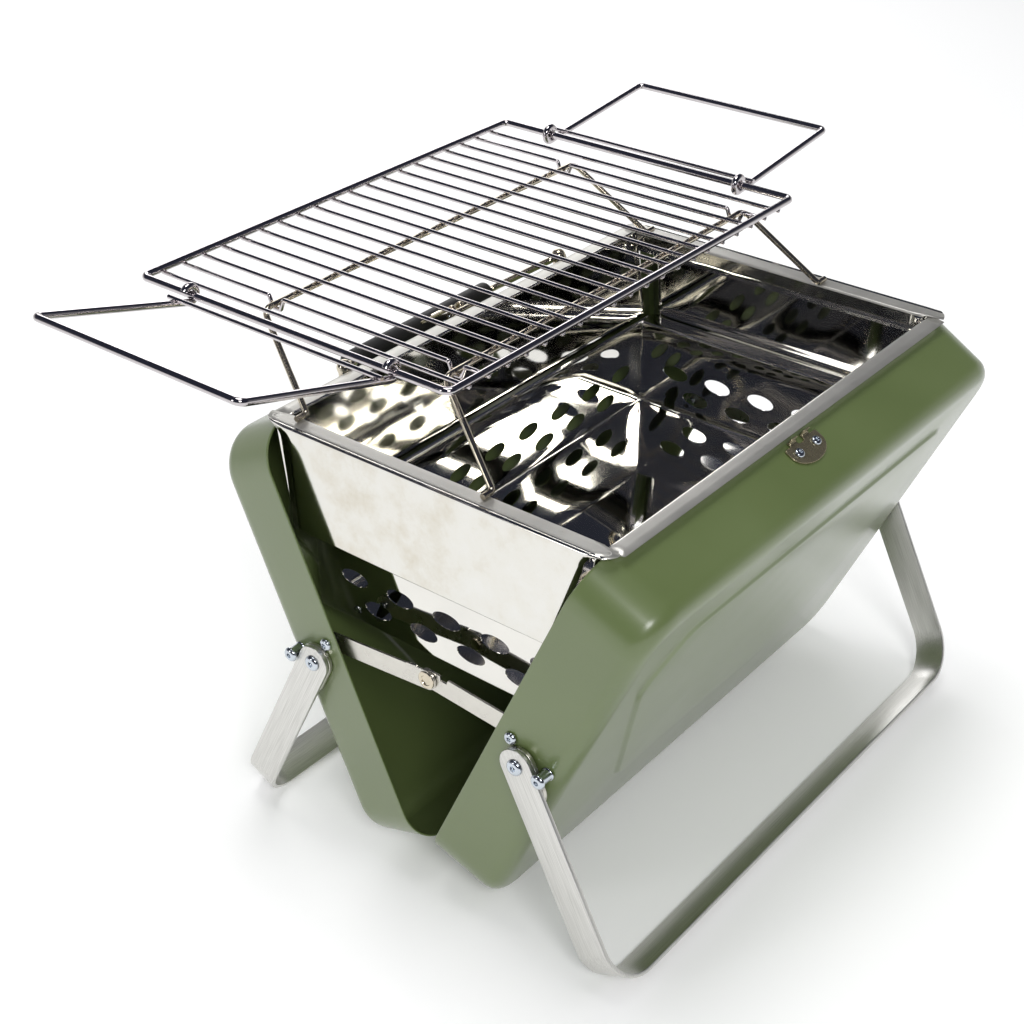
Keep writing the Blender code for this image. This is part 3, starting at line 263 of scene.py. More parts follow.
def brushed_strip():
    """Satin brushed strip: grain runs along the arms and along the cross bar."""
    mat, nt, bsdf = new_material("brushed_strip")
    along_arm = noise(nt, coords(nt, (2600.0, 26.0, 2600.0)), 1.0, 5.0, 0.6)
    along_bar = noise(nt, coords(nt, (26.0, 2600.0, 2600.0)), 1.0, 5.0, 0.6)
    tc = node(nt, "ShaderNodeTexCoord")
    sep = node(nt, "ShaderNodeSeparateXYZ")
    nt.links.new(tc.outputs["Object"], sep.inputs[0])
    far = math_node(nt, "ABSOLUTE", sep.outputs[0], 0.0)
    sel = math_node(nt, "GREATER_THAN", far, 0.205)
    mix = node(nt, "ShaderNodeMix", data_type="FLOAT")
    nt.links.new(sel, mix.inputs["Factor"])
    nt.links.new(along_bar, mix.inputs[2])
    nt.links.new(along_arm, mix.inputs[3])
    grain = mix.outputs[0]
    col = ramp(nt, grain, [(0.25, srgb(186, 185, 180)), (0.6, srgb(222, 221, 217)), (0.85, srgb(238, 237, 234))])
    nt.links.new(col, bsdf.inputs["Base Color"])
    bsdf.inputs["Metallic"].default_value = 1.0
    nt.links.new(remap(nt, grain, 0.30, 0.46), bsdf.inputs["Roughness"])
    bump(nt, bsdf, grain, 0.16, 0.0002)
    return mat


def plain_metal(name, tint, rough, spread=0.08, scale=60.0, wave=0.05, metallic=1.0):
    """Plated metal: small tone and gloss changes over the surface."""
    mat, nt, bsdf = new_material(name)
    vec = coords(nt)
    cloud = noise(nt, vec, scale, 4.0, 0.6)
    col = ramp(nt, cloud, [(0.3, tuple(c * 0.86 for c in tint)), (0.7, tint)])
    nt.links.new(col, bsdf.inputs["Base Color"])
    bsdf.inputs["Metallic"].default_value = metallic
    nt.links.new(remap(nt, cloud, rough, rough + spread), bsdf.inputs["Roughness"])
    bump(nt, bsdf, noise(nt, vec, scale * 6, 2.0), wave, 0.0004)
    return mat


def grip_plastic():
    mat, nt, bsdf = new_material("black_grip")
    vec = coords(nt)
    n = noise(nt, vec, 1500.0, 3.0)
    bsdf.inputs["Specular IOR Level"].default_value = 0.4
    nt.links.new(ramp(nt, noise(nt, vec, 30.0), [(0.3, srgb(20, 20, 20)), (0.7, srgb(28, 27, 27))]),
                 bsdf.inputs["Base Color"])
    nt.links.new(remap(nt, n, 0.48, 0.62), bsdf.inputs["Roughness"])
    bump(nt, bsdf, n, 0.25, 0.0003)
    return mat


PAINT = green_paint()
MIRROR = mirror_steel("mirror_stainless")
SATIN = satin_sheet()
FLANGE = plain_metal("flange_stainless", srgb(196, 194, 188), 0.30, 0.08, 25.0, 0.03, 0.72)
BRUSHED = brushed_strip()
CHROME = plain_metal("chrome_wire", srgb(206, 200, 202), 0.06, 0.05, 90.0)
NICKEL = plain_metal("nickel_wire", srgb(214, 204, 184), 0.10, 0.08, 90.0)
ZINC = plain_metal("zinc_rivet", srgb(205, 212, 220), 0.14, 0.10, 160.0)
YELLOW = plain_metal("warm_nickel_plate", srgb(178, 168, 138), 0.22, 0.10, 120.0, 0.05, 0.85)
STAY = plain_metal("stay_strip", srgb(214, 211, 203), 0.24, 0.10, 60.0)
GRIP = grip_plastic()
SLOT_MATERIAL = {"green_paint": PAINT, "polished_steel": MIRROR, "brushed_aluminium": BRUSHED,
                 "chrome_wire": CHROME, "nickel_wire": NICKEL, "zinc_rivet": ZINC,
                 "yellow_zinc": YELLOW, "black_grip": GRIP}
NODE_SLOT = {s["node"]: s["material_slot"] for s in frame["record"]["subparts"]}
for _name, _ob in frame["nodes"].items():      # any node that stays shows its finish
    _ob.data.materials.clear()
    _ob.data.materials.append(SLOT_MATERIAL[NODE_SLOT[_name]])


# =======================================================================
# mesh helpers (millimetres in, metres out)
def mesh_from(bm, name, recalc=True):
    if recalc:
        bmesh.ops.recalc_face_normals(bm, faces=bm.faces)
    bmesh.ops.scale(bm, vec=(MM, MM, MM), verts=bm.verts)
    me = bpy.data.meshes.new(name)
    bm.to_mesh(me)
    bm.free()
    return me


def piece(name, data, mat, frame_, body, nodes=(), smooth=35.0):
    if isinstance(data, bpy.types.Mesh):
        ob = bpy.data.objects.new(name + "_fine", data)
        if smooth:
            data.shade_smooth()
            data.set_sharp_from_angle(angle=math.radians(smooth))
    else:
        ob = bpy.data.objects.new(name + "_fine", data)
    if not data.materials:
        data.materials.append(mat)
    bpy.context.scene.collection.objects.link(ob)
    ob.matrix_world = frame_
    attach(ob, body)
    if nodes:
        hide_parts(*nodes)
    return ob


def add_box(bm, lo, hi):
    lo, hi = Vector(lo), Vector(hi)
    mat = Matrix.Translation((hi + lo) / 2) @ Matrix.Diagonal((*(hi - lo), 1.0))
    return bmesh.ops.create_cube(bm, size=1.0, matrix=mat)["verts"]


def add_cyl(bm, a, b, r, seg=32):
    a, b = Vector(a), Vector(b)
    rot = Vector((0, 0, 1)).rotation_difference(b - a).to_matrix().to_4x4()
    return bmesh.ops.create_cone(bm, cap_ends=True, segments=seg, radius1=r, radius2=r,
                                 depth=(b - a).length, matrix=Matrix.Translation((a + b) / 2) @ rot)["verts"]


def add_turned(bm, profile, a, direction, seg=32):
    rot = Vector((0, 0, 1)).rotation_difference(Vector(direction)).to_matrix().to_4x4()
    mat = Matrix.Translation(Vector(a)) @ rot
    rings = []
    for r, h in profile:
        if r < 1e-6:
            rings.append([bm.verts.new(mat @ Vector((0, 0, h)))])
        else:
            rings.append([bm.verts.new(mat @ Vector((r * math.cos(2 * math.pi * i / seg),
                                                     r * math.sin(2 * math.pi * i / seg), h)))
                          for i in range(seg)])
    for p, q in zip(rings, rings[1:]):
        for i in range(seg):
            j = (i + 1) % seg
            if len(p) == 1 and len(q) > 1:
                bm.faces.new((p[0], q[i], q[j]))
            elif len(q) == 1 and len(p) > 1:
                bm.faces.new((p[i], q[0], p[j]))
            elif len(p) > 1:
                bm.faces.new((p[i], q[i], q[j], p[j]))


def bend_path(corners, radius, seg=10, cyclic=False):
    pts = [Vector(c) for c in corners]
    n = len(pts)
    out = []
    for i, p in enumerate(pts):
        if not cyclic and i in (0, n - 1):
            out.append(p)
            continue
        a = (pts[i - 1] - p).normalized()
        b = (pts[(i + 1) % n] - p).normalized()
        r = radius[i] if isinstance(radius, (list, tuple)) else radius
        half = a.angle(b) / 2
        if r <= 0 or half > math.radians(89):
            out.append(p)
            continue
        d = r / math.tan(half)
        centre = p + (a + b).normalized() * (r / math.sin(half))
        s, e = p + a * d - centre, p + b * d - centre
        ang, ax = s.angle(e), s.cross(e).normalized()
        for k in range(seg + 1):
            out.append(centre + Matrix.Rotation(ang * k / seg, 3, ax) @ s)
    return out


def wires(name, paths, mat, frame_, body, nodes, res=5):
    """Round wires in one object: paths are (points, radius, cyclic)."""
    cu = bpy.data.curves.new(name, "CURVE")
    cu.dimensions = "3D"
    big = max(r for _, r, _ in paths)
    cu.bevel_depth = big * MM
    cu.bevel_resolution = res
    cu.use_fill_caps = True
    for pts, r, cyc in paths:
        sp = cu.splines.new("POLY")
        sp.points.add(len(pts) - 1)
        for p, co in zip(sp.points, pts):
            p.co = (co[0] * MM, co[1] * MM, co[2] * MM, 1.0)
            p.radius = r / big
        sp.use_cyclic_u = cyc
        sp.use_smooth = True
    return piece(name, cu, mat, frame_, body, nodes)


def round_end(a, b, r, steps=4):
    """Points and radii that taper a straight wire's end to a dome, as (point, radius)."""
    a, b = Vector(a), Vector(b)
    d = (b - a).normalized()
    return [(b - d * r * (1 - math.sin(math.pi / 2 * k / steps)), r * math.cos(math.pi / 2 * k / steps))
            for k in range(1, steps + 1)]


def flat_plate(name, outline, thickness, mat, frame_, body, nodes, holes=(), bevel=0.25):
    cu = bpy.data.curves.new(name, "CURVE")
    cu.dimensions = "2D"
    cu.fill_mode = "BOTH"
    cu.extrude = thickness / 2 * MM
    for loop in (outline, *holes):
        sp = cu.splines.new("POLY")
        sp.points.add(len(loop) - 1)
        for p, co in zip(sp.points, loop):
            p.co = (co[0] * MM, co[1] * MM, 0.0, 1.0)
        sp.use_cyclic_u = True
    tmp = bpy.data.objects.new(name + "_tmp", cu)
    bpy.context.scene.collection.objects.link(tmp)
    bpy.context.view_layer.update()
    me = bpy.data.meshes.new_from_object(tmp.evaluated_get(bpy.context.evaluated_depsgraph_get()))
    bpy.data.objects.remove(tmp, do_unlink=True)
    bpy.data.curves.remove(cu)
    bm = bmesh.new()
    bm.from_mesh(me)
    bmesh.ops.remove_doubles(bm, verts=bm.verts, dist=1e-6)
    bmesh.ops.dissolve_limit(bm, angle_limit=math.radians(1), verts=bm.verts, edges=bm.edges)
    bmesh.ops.recalc_face_normals(bm, faces=bm.faces)
    bm.to_mesh(me)
    bm.free()
    me.materials.clear()
    ob = piece(name, me, mat, frame_, body, nodes)
    if bevel:
        round_edges(ob, bevel)
    return ob


def round_edges(ob, width, segments=2, angle=40.0):
    mod = ob.modifiers.new("edges", "BEVEL")
    mod.width = width * MM
    mod.segments = segments
    mod.limit_method = "ANGLE"
    mod.angle_limit = math.radians(angle)
    mod.harden_normals = False
    return mod


def circle(cx, cy, r, seg=32, start=0.0, sweep=360.0, close=False):
    n = seg if sweep >= 360 else seg + 1
    return [(cx + r * math.cos(math.radians(start + sweep * i / seg)),
             cy + r * math.sin(math.radians(start + sweep * i / seg))) for i in range(n)]


def capsule(p, q, r, seg=16):
    p, q = Vector(p), Vector(q)
    a0 = math.atan2((q - p).y, (q - p).x)
    pts = []
    for c, s in ((q, a0 - math.pi / 2), (p, a0 + math.pi / 2)):
        pts += [(c.x + r * math.cos(s + math.pi * i / seg), c.y + r * math.sin(s + math.pi * i / seg))
                for i in range(seg + 1)]
    return pts


def frame_yz(x):
    return ORIGIN @ Matrix(((0, 0, 1, x * MM), (1, 0, 0, 0), (0, 1, 0, 0), (0, 0, 0, 1)))


def lerp(a, b, t):
    return a + (b - a) * t


def smooth(t):
    return t * t * (3 - 2 * t)


def loop_points(hx, y0, y1, r, arc=14, side=26):
    """Rounded rectangle, always with the same number of points in the same order."""
    pts = []
    r = max(r, 0.05)
    cs = [(hx - r, y1 - r, 0), (-hx + r, y1 - r, 90), (-hx + r, y0 + r, 180), (hx - r, y0 + r, 270)]
    for k, (cx, cy, a0) in enumerate(cs):
        for i in range(arc + 1):
            a = math.radians(a0 + 90.0 * i / arc)
            pts.append((cx + r * math.cos(a), cy + r * math.sin(a)))
        nx, ny, na = cs[(k + 1) % 4]
        a = math.radians(na)
        e = (nx + r * math.cos(a), ny + r * math.sin(a))
        p = pts[-1]
        for i in range(1, side):
            t = i / side
            pts.append((lerp(p[0], e[0], t), lerp(p[1], e[1], t)))
    return pts


def skin(bm, rings, cap_last=True, closed=True):
    made = [[bm.verts.new(p) for p in ring] for ring in rings]
    n = len(made[0])
    for a, b in zip(made, made[1:]):
        for i in range(n if closed else n - 1):
            j = (i + 1) % n
            bm.faces.new((a[i], a[j], b[j], b[i]))
    if cap_last:
        bm.faces.new(made[-1])
    return made


# =======================================================================
# case halves: pressed trays with a raised panel on the outer face
def build_shell(tag):
    rings = []

    def ring(inset, v, r):
        # the ends and the top slope in, the hinge side stands square
        low = inset - draft(min(v, CASE_D - EDGE_R)) * 0.75
        return [(x, u, v) for x, u in loop_points(HALF_LEN - inset, low, CASE_H - inset, r)]

    def draft(v):
        return DRAFT * v / CASE_D
    rings.append(ring(0.0, 0.0, CORNER_R))
    for v in (1.5, 14.0, 28.0, CASE_D - EDGE_R):
        rings.append(ring(draft(v), v, CORNER_R))
    base = draft(CASE_D - EDGE_R)
    for k in range(1, 10):
        f = math.pi / 2 * k / 9
        rings.append(ring(base + EDGE_R * (1 - math.cos(f)) + 0.6 * k / 9,
                          CASE_D - EDGE_R + EDGE_R * math.sin(f), CORNER_R - EDGE_R * (1 - math.cos(f))))
    flat = [(x, u) for x, u, _ in rings[-1]]
    corners = [(150.0, 262.0, 0), (-150.0, 262.0, 0), (-176.0, 222.0, 0), (-108.0, 70.0, 0),
               (108.0, 70.0, 0), (176.0, 222.0, 0)]
    outline = bend_path([Vector(c) for c in corners], 18.0, seg=12, cyclic=True)
    centre = Vector((0.0, 165.0, 0.0))

    def ray(x, u):
        d = Vector((x - centre.x, u - centre.y, 0)).normalized()
        best = 1e9
        for p, q in zip(outline, outline[1:] + outline[:1]):
            e = q - p
            den = d.x * e.y - d.y * e.x
            if abs(den) < 1e-9:
                continue
            w = p - centre
            t = (w.x * e.y - w.y * e.x) / den
            s = (w.x * d.y - w.y * d.x) / den
            if t > 0 and -1e-6 <= s <= 1 + 1e-6:
                best = min(best, t)
        return d * best
    hits = [ray(x, u) for x, u in flat]
    for grow, t in ((1.036, 0.0), (1.028, 0.06), (1.020, 0.3), (1.012, 0.7), (1.004, 0.94), (0.996, 1.0),
                    (0.8, 1.0), (0.5, 1.0), (0.2, 1.0)):
        rings.append([(centre.x + h.x * grow, centre.y + h.y * grow, CASE_D + 2.2 * t) for h in hits])
    bm = bmesh.new()
    skin(bm, rings)
    me = mesh_from(bm, tag + "_shell")
    ob = piece(tag + "_shell", me, PAINT, CASE_FRAME[tag], CASE_BODY[tag], [tag + "_shell"], smooth=30)
    sol = ob.modifiers.new("sheet", "SOLIDIFY")
    sol.thickness = SHEET * MM
    sol.offset = -1.0
    sol.use_even_offset = True
    round_edges(ob, 0.3, 2, 60)
    return ob


for _tag in ("front", "rear"):
    build_shell(_tag)


# =======================================================================
# piano hinge
def build_leaf(tag, side):
    pitch = 2 * HINGE_HALF / KNUCKLES
    bm = bmesh.new()
    add_box(bm, (-HINGE_HALF, PIN_U + KNUCKLE_R - 0.5, PIN_V + 3.2),
            (HINGE_HALF, PIN_U + KNUCKLE_R + 0.5, 15.0))
    for i in range(KNUCKLES):
        if (i % 2 == 0) == (side > 0):
            a = -HINGE_HALF + i * pitch + GAP
            b = a + pitch - 2 * GAP
            add_turned(bm, [(1.75, 0), (KNUCKLE_R - 0.3, 0), (KNUCKLE_R, 0.3), (KNUCKLE_R, b - a - 0.3),
                            (KNUCKLE_R - 0.3, b - a), (1.75, b - a), (1.75, 0)],
                       (a, PIN_U, PIN_V), (1, 0, 0), 28)
            add_box(bm, (a, PIN_U + KNUCKLE_R - 0.5, PIN_V), (b, PIN_U + KNUCKLE_R + 0.5, PIN_V + 4.0))
    # countersunk rivet heads along the leaf
    for i in range(9):
        x = -160 + i * 40
        add_turned(bm, [(0, 0.9), (1.4, 0.8), (2.2, 0.3), (2.4, -0.3), (0, -0.3)],
                   (x, PIN_U + KNUCKLE_R - 0.55, 10.5), (0, -1, 0), 20)
    piece("hinge_leaf_" + tag, mesh_from(bm, "leaf"), PAINT, CASE_FRAME[tag], CASE_BODY[tag],
          ["hinge_leaf_" + tag])


build_leaf("front", -1)
build_leaf("rear", 1)
_bm = bmesh.new()
add_turned(_bm, [(0, -181.5), (1.1, -181.5), (1.45, -181.1), (1.45, 181.1), (1.1, 181.5), (0, 181.5)],
           (0, 0, PIN_Z), (1, 0, 0), 24)
piece("hinge_pin", mesh_from(_bm, "hinge_pin"), ZINC, WORLD, "rear_case", ["hinge_pin"])


# =======================================================================
# rivets and stop pins
def wall_x(v):
    return HALF_LEN - DRAFT * v / CASE_D


def rivet_profile(shank, length, head, head_h, hollow):
    return [(0, head_h - hollow), (head * 0.24, head_h - hollow), (head * 0.30, head_h - hollow * 0.7),
            (head * 0.33, head_h - 0.25), (head * 0.40, head_h), (head * 0.56, head_h),
            (head * 0.70, head_h * 0.94), (head * 0.84, head_h * 0.78), (head * 0.94, head_h * 0.5),
            (head * 0.99, head_h * 0.22), (head, 0.12), (head * 0.98, 0.0), (shank, 0.0), (shank, -length),
            (shank + 1.4, -length), (shank + 1.5, -length - 0.6), (shank + 0.9, -length - 1.1),
            (0, -length - 1.2)]


STAND_OUT = STAND_X + STAND_T
for _tag in ("front", "rear"):
    for _s in (-1, 1):
        _pl = place_of(_tag, _s)
        _wall = wall_x(STAY_V - 4.2) + GAP
        _bm = bmesh.new()
        add_turned(_bm, rivet_profile(2.0, _wall - STAY_X_FRONT + GAP, 4.4, 2.2, 1.6),
                   (_s * _wall, STAY_U, STAY_V), (_s, 0, 0))
        _n = "%s_stay_rivet_%s" % (_tag, _pl)
        piece(_n, mesh_from(_bm, _n), ZINC, CASE_FRAME[_tag], CASE_BODY[_tag], [_n])
        _bm = bmesh.new()
        add_turned(_bm, rivet_profile(2.5, STAND_OUT + GAP - wall_x(PIVOT_V) + SHEET + 0.8, 5.6, 2.4, 1.8),
                   (_s * (STAND_OUT + GAP), PIVOT_U, PIVOT_V), (_s, 0, 0))
        _n = "%s_stand_pivot_%s" % (_tag, _pl)
        piece(_n, mesh_from(_bm, _n), ZINC, CASE_FRAME[_tag], CASE_BODY[_tag], [_n])
        _base = wall_x(STOP_V - 4.5) + GAP
        _top = STAND_X + STAND_T + 1.0
        _h = _top - _base
        _tail = _base - wall_x(STOP_V) + SHEET + 1.8
        _bm = bmesh.new()
        add_turned(_bm, [(0, 1.0), (1.3, 1.0), (1.5, 1.6), (1.7, 2.5), (2.2, 2.65), (3.4, 2.45), (4.3, 1.9),
                         (4.9, 1.1), (5.1, 0.3), (5.0, 0.0), (4.15, 0.0), (STOP_R, -0.4),
                         (STOP_R, -_h + 0.9), (STOP_R + 0.5, -_h + 0.4), (STOP_R + 0.6, -_h),
                         (2.0, -_h), (2.0, -_h - _tail), (3.4, -_h - _tail), (3.0, -_h - _tail - 1.0),
                         (0, -_h - _tail - 1.0)], (_s * _top, STOP_U, STOP_V), (_s, 0, 0))
        _n = "%s_stop_pin_%s" % (_tag, _pl)
        piece(_n, mesh_from(_bm, _n), ZINC, CASE_FRAME[_tag], CASE_BODY[_tag], [_n])


# =======================================================================
# stands
def build_stand(tag, side):
    _, py, pz = case_point(side, 0, PIVOT_U, PIVOT_V)
    r_dir = Vector((0.0, side * math.sin(STAND_SWING), -math.cos(STAND_SWING)))
    x_dir = Vector((1.0, 0.0, 0.0))
    w_dir = x_dir.cross(r_dir)
    f = ORIGIN @ Matrix(((1, r_dir.x, w_dir.x, 0), (0, r_dir.y, w_dir.y, py * MM),
                         (0, r_dir.z, w_dir.z, pz * MM), (0, 0, 0, 1)))
    hw = STAND_W / 2
    centre = bend_path([Vector((-STAND_X - STAND_T / 2, 0, 0)),
                        Vector((-STAND_X - STAND_T / 2, STAND_R - STAND_T / 2, 0)),
                        Vector((STAND_X + STAND_T / 2, STAND_R - STAND_T / 2, 0)),
                        Vector((STAND_X + STAND_T / 2, 0, 0))], STAND_BEND - STAND_T / 2, seg=22)
    # the strip's half width narrows to a round end above each pivot
    path = []
    steps = 12
    for k in range(steps + 1):
        a = math.pi / 2 * k / steps
        path.append((Vector((-STAND_X - STAND_T / 2, -hw * math.cos(a), 0)), max(hw * math.sin(a), 0.3)))
    path += [(p, hw) for p in centre[1:-1]]
    path += [(Vector((-p.x, p.y, 0)), w) for p, w in path[:steps + 1][::-1]]
    c, t = 0.5, STAND_T / 2
    rings = []
    for i, (p, w) in enumerate(path):
        a = path[max(i - 1, 0)][0]
        b = path[min(i + 1, len(path) - 1)][0]
        d = (b - a).normalized()
        nrm = Vector((d.y, -d.x, 0))
        cc = min(c, w * 0.5)
        sec = [(t, -w + cc), (t, w - cc), (t - cc * 0.3, w - cc * 0.3), (t - cc, w), (-t + cc, w),
               (-t + cc * 0.3, w - cc * 0.3), (-t, w - cc), (-t, -w + cc), (-t + cc * 0.3, -w + cc * 0.3),
               (-t + cc, -w), (t - cc, -w), (t - cc * 0.3, -w + cc * 0.3)]
        rings.append([tuple(p + nrm * n + Vector((0, 0, z))) for n, z in sec])
    bm = bmesh.new()
    made = skin(bm, rings)
    bm.faces.new(made[0])
    piece(tag + "_stand", mesh_from(bm, "stand"), BRUSHED, f, tag + "_stand", [tag + "_stand"], smooth=28)
    t0, t1 = wall_x(PIVOT_V - 12.0) + GAP, STAND_X - GAP
    for s, pl in ((-1, "near"), (1, "far")):
        flat = f @ Matrix(((0, 0, 1, s * (t0 + t1) / 2 * MM), (1, 0, 0, 0), (0, 1, 0, 0), (0, 0, 0, 1)))
        n = "%s_stand_doubler_%s" % (tag, pl)
        flat_plate(n, capsule((0, 0), (18.0, 0), hw), t1 - t0, STAY, flat, tag + "_stand", [n],
                   [circle(0, 0, 2.8)], 0.4)


build_stand("front", -1)
build_stand("rear", 1)


# =======================================================================
# stays
def build_stays():
    mid = Vector(STAY_MID)
    for tag, side, x0 in (("rear", 1, STAY_X_REAR), ("front", -1, STAY_X_FRONT)):
        _, y, z = case_point(side, 0, STAY_U, STAY_V)
        end = Vector((y, z))
        along = (mid - end).normalized()
        across = Vector((-along.y, along.x))
        if across.y < 0:
            across = -across
        for s, pl in ((-1, "near"), (1, "far")):
            n = "stay_%s_%s" % (tag, pl)
            w = STAY_W / 2

            def at(a, b):
                q = mid + along * a + across * b
                return (q.x, q.y)
            holes = [circle(end.x, end.y, 2.4, 24), circle(mid.x, mid.y, 3.1, 24)]
            if tag == "rear":
                # round nose with a stop tab above it
                out = [at(-70, -w), at(0, -w)]
                out = [(end.x - across.x * w, end.y - across.y * w)]
                a0 = math.degrees(math.atan2(along.y, along.x))
                sgn = 1 if (along.x * across.y - along.y * across.x) > 0 else -1
                out = []
                for k in range(17):
                    a = math.radians(180 * k / 16)
                    out.append(at(0 + w * math.sin(a), -w * math.cos(a)))
                out += [at(-7.5, w), at(-8.0, w + 0.6), at(-16.0, w + 0.6), at(-16.5, w)]
                base = (end - mid).length
                for k in range(17):
                    a = math.radians(180 * k / 16)
                    q = end - along * (w * math.sin(a)) + across * (w * math.cos(a))
                    out.append((q.x, q.y))
            else:
                # the front bar's nose is notched where the tab of the other bar lands
                out = []
                for k in range(17):
                    a = math.radians(180 * k / 16)
                    if k == 16:
                        out += [at(-9.0, w), at(-9.6, w - 3.4), at(-14.4, w - 3.4), at(-15.4, w)]
                    else:
                        out.append(at(w * math.sin(a), -w * math.cos(a)))
                for k in range(17):
                    a = math.radians(180 * k / 16)
                    q = end - along * (w * math.sin(a)) + across * (w * math.cos(a))
                    out.append((q.x, q.y))
            flat_plate(n, out, STAY_T, STAY, frame_yz(s * (x0 + STAY_T / 2)), tag + "_stays", [n], holes, 0.25)
    # the joint rivet's broad slotted head is on the rear bar, its tail on the front bar
    for s, pl in ((-1, "near"), (1, "far")):
        bm = bmesh.new()
        out = STAY_X_REAR + STAY_T + 0.1
        add_turned(bm, [(0, 0.45), (2.2, 0.45), (2.5, 0.3), (3.4, 0.3), (3.7, 0.75), (4.6, 0.9), (5.5, 0.82),
                        (6.1, 0.5), (6.3, 0.1), (6.2, 0.0), (2.8, 0.0), (2.8, -STAY_T), (0, -STAY_T)],
                   (s * out, mid.x, mid.y), (s, 0, 0), 40)
        n = "stay_joint_rivet_" + pl
        piece(n, mesh_from(bm, n), NICKEL, WORLD, "rear_stays", [n])
        bm = bmesh.new()
        add_turned(bm, [(0, 0.0), (2.8, 0.0), (2.8, -STAY_T - 0.1), (4.6, -STAY_T - 0.1), (4.5, -STAY_T - 0.6),
                        (4.0, -STAY_T - 1.0), (3.0, -STAY_T - 1.1), (0, -STAY_T - 1.1)],
                   (s * (STAY_X_FRONT + STAY_T), mid.x, mid.y), (s, 0, 0), 40)
        n = "stay_joint_tail_" + pl
        piece(n, mesh_from(bm, n), NICKEL, WORLD, "front_stays", [n])


build_stays()


# =======================================================================
# fire box frame
def sheet_from(name, rows, cols, mats, body, nodes, thickness, frame_=WORLD, flip=False, smooth_=40):
    """rows are lists of points; a sheet with thickness behind its face."""
    bm = bmesh.new()
    grid = [[bm.verts.new(p) for p in row] for row in rows]
    for a, b in zip(grid, grid[1:]):
        for i in range(len(a) - 1):
            vs = (a[i], a[i + 1], b[i + 1], b[i])
            bm.faces.new(vs[::-1] if flip else vs)
    me = mesh_from(bm, name, recalc=False)
    for m in mats:
        me.materials.append(m)
    ob = piece(name, me, mats[0], frame_, body, nodes, smooth=smooth_)
    sol = ob.modifiers.new("sheet", "SOLIDIFY")
    sol.thickness = thickness * MM
    sol.offset = -1.0
    if len(mats) > 1:
        sol.material_offset = 1
        sol.material_offset_rim = 0
    return ob


def arc_pts(cx, cy, r, a0, a1, seg=6):
    return [(cx + r * math.cos(math.radians(lerp(a0, a1, k / seg))),
             cy + r * math.sin(math.radians(lerp(a0, a1, k / seg)))) for k in range(seg + 1)]


def build_end_panel(pl, s):
    top = RAIL_Z + BOX_T + GAP + BOX_T
    prof = [(LIP_X, top - LIP_H), (LIP_X, top - LIP_H + 6), (LIP_X, top - 1.6)]
    prof += arc_pts(LIP_X + 1.6, top - 1.6, 1.6, 180, 90)
    prof += [(LIP_X + 4.0, top), (LIP_X + 7.0, top), (LIP_X + 10.0, top), (END_X - 3.6, top),
             (END_X - 3.0, top - 0.25), (END_X - 2.5, top - 0.1)]
    prof += arc_pts(END_X - 1.6, top - 1.35, 1.6, 110, 0, 8)
    prof += [(END_X, top - 2.4), (END_X, top - 3.2), (END_X, top - 4.5), (END_X, top - 6.5),
             (END_X, top - 9.5), (END_X, top - 12.9), (END_X, top - 30), (END_X, top - 50)]
    prof += [(END_X, LEDGE_Z + 1.6)] + arc_pts(END_X - 1.5, LEDGE_Z + 1.5, 1.5, 0, -90) + [(END_X - 9.0, LEDGE_Z)]

    def front_width(x, z, w):
        # the apron is broader towards the front half than towards the rear one
        if x > END_X - 1.7 and z < top - 2.0:
            if z > top - 12.9:
                t = (top - 2.2 - z) / (12.9 - 2.2)
                return lerp(122.0, 117.0, 1 - (1 - t) ** 2.2)
            return lerp(95.8, 117.0, max(0.0, (z - (LEDGE_Z + 1.5)) / (top - 12.9 - LEDGE_Z - 1.5)))
        return 95.0 if z < top - 30 and x > LIP_X + 2 else w

    def half_width(k, x, z):
        if z <= top - 2.0 and x < LIP_X + 1:          # lip
            return lerp(LIP_Y - 2.4, LIP_Y - 0.8, (z - (top - LIP_H)) / LIP_H)
        if z > top - 2.5:                             # flange, with round outer corners
            if x < LIP_X + 1.7:
                return LIP_Y - 0.8 + 1.5 * max(0.0, (x - LIP_X) / 1.6)
            d = END_X - x
            r = 13.0
            w = REAR_SIDE_Y
            if x < LIP_X + 3.9:
                return REAR_SIDE_Y - 2.0
            if d < r:
                return w - (r - math.sqrt(max(r * r - (r - d) ** 2, 0.0)))
            return w
        if x > END_X - 0.1:                           # apron, nearly square at its edges
            if z > top - 12.9:
                t = (top - 2.2 - z) / (12.9 - 2.2)
                return lerp(121.0, 116.0, 1 - (1 - t) ** 2.2)
            return lerp(112.0, 116.0, (z - (LEDGE_Z + 1.5)) / (top - 12.9 - LEDGE_Z - 1.5))
        return 111.2
    cols = 28
    rows = []
    for k, (x, z) in enumerate(prof):
        w = half_width(k, x, z)
        wf = front_width(x, z, w)
        rows.append([(s * x, lerp(-wf, w, i / cols), z) for i in range(cols + 1)])
    ob = sheet_from(pl + "_end_panel", rows, cols, [SATIN, MIRROR, FLANGE], "fire_box", [pl + "_end_panel"],
                    BOX_T, flip=s > 0)
    n_flange = range(2, 13)
    for i, p in enumerate(ob.data.polygons):
        row = i // cols
        if row in n_flange:
            p.material_index = 2
    ob.modifiers["sheet"].material_offset = 1
    return ob


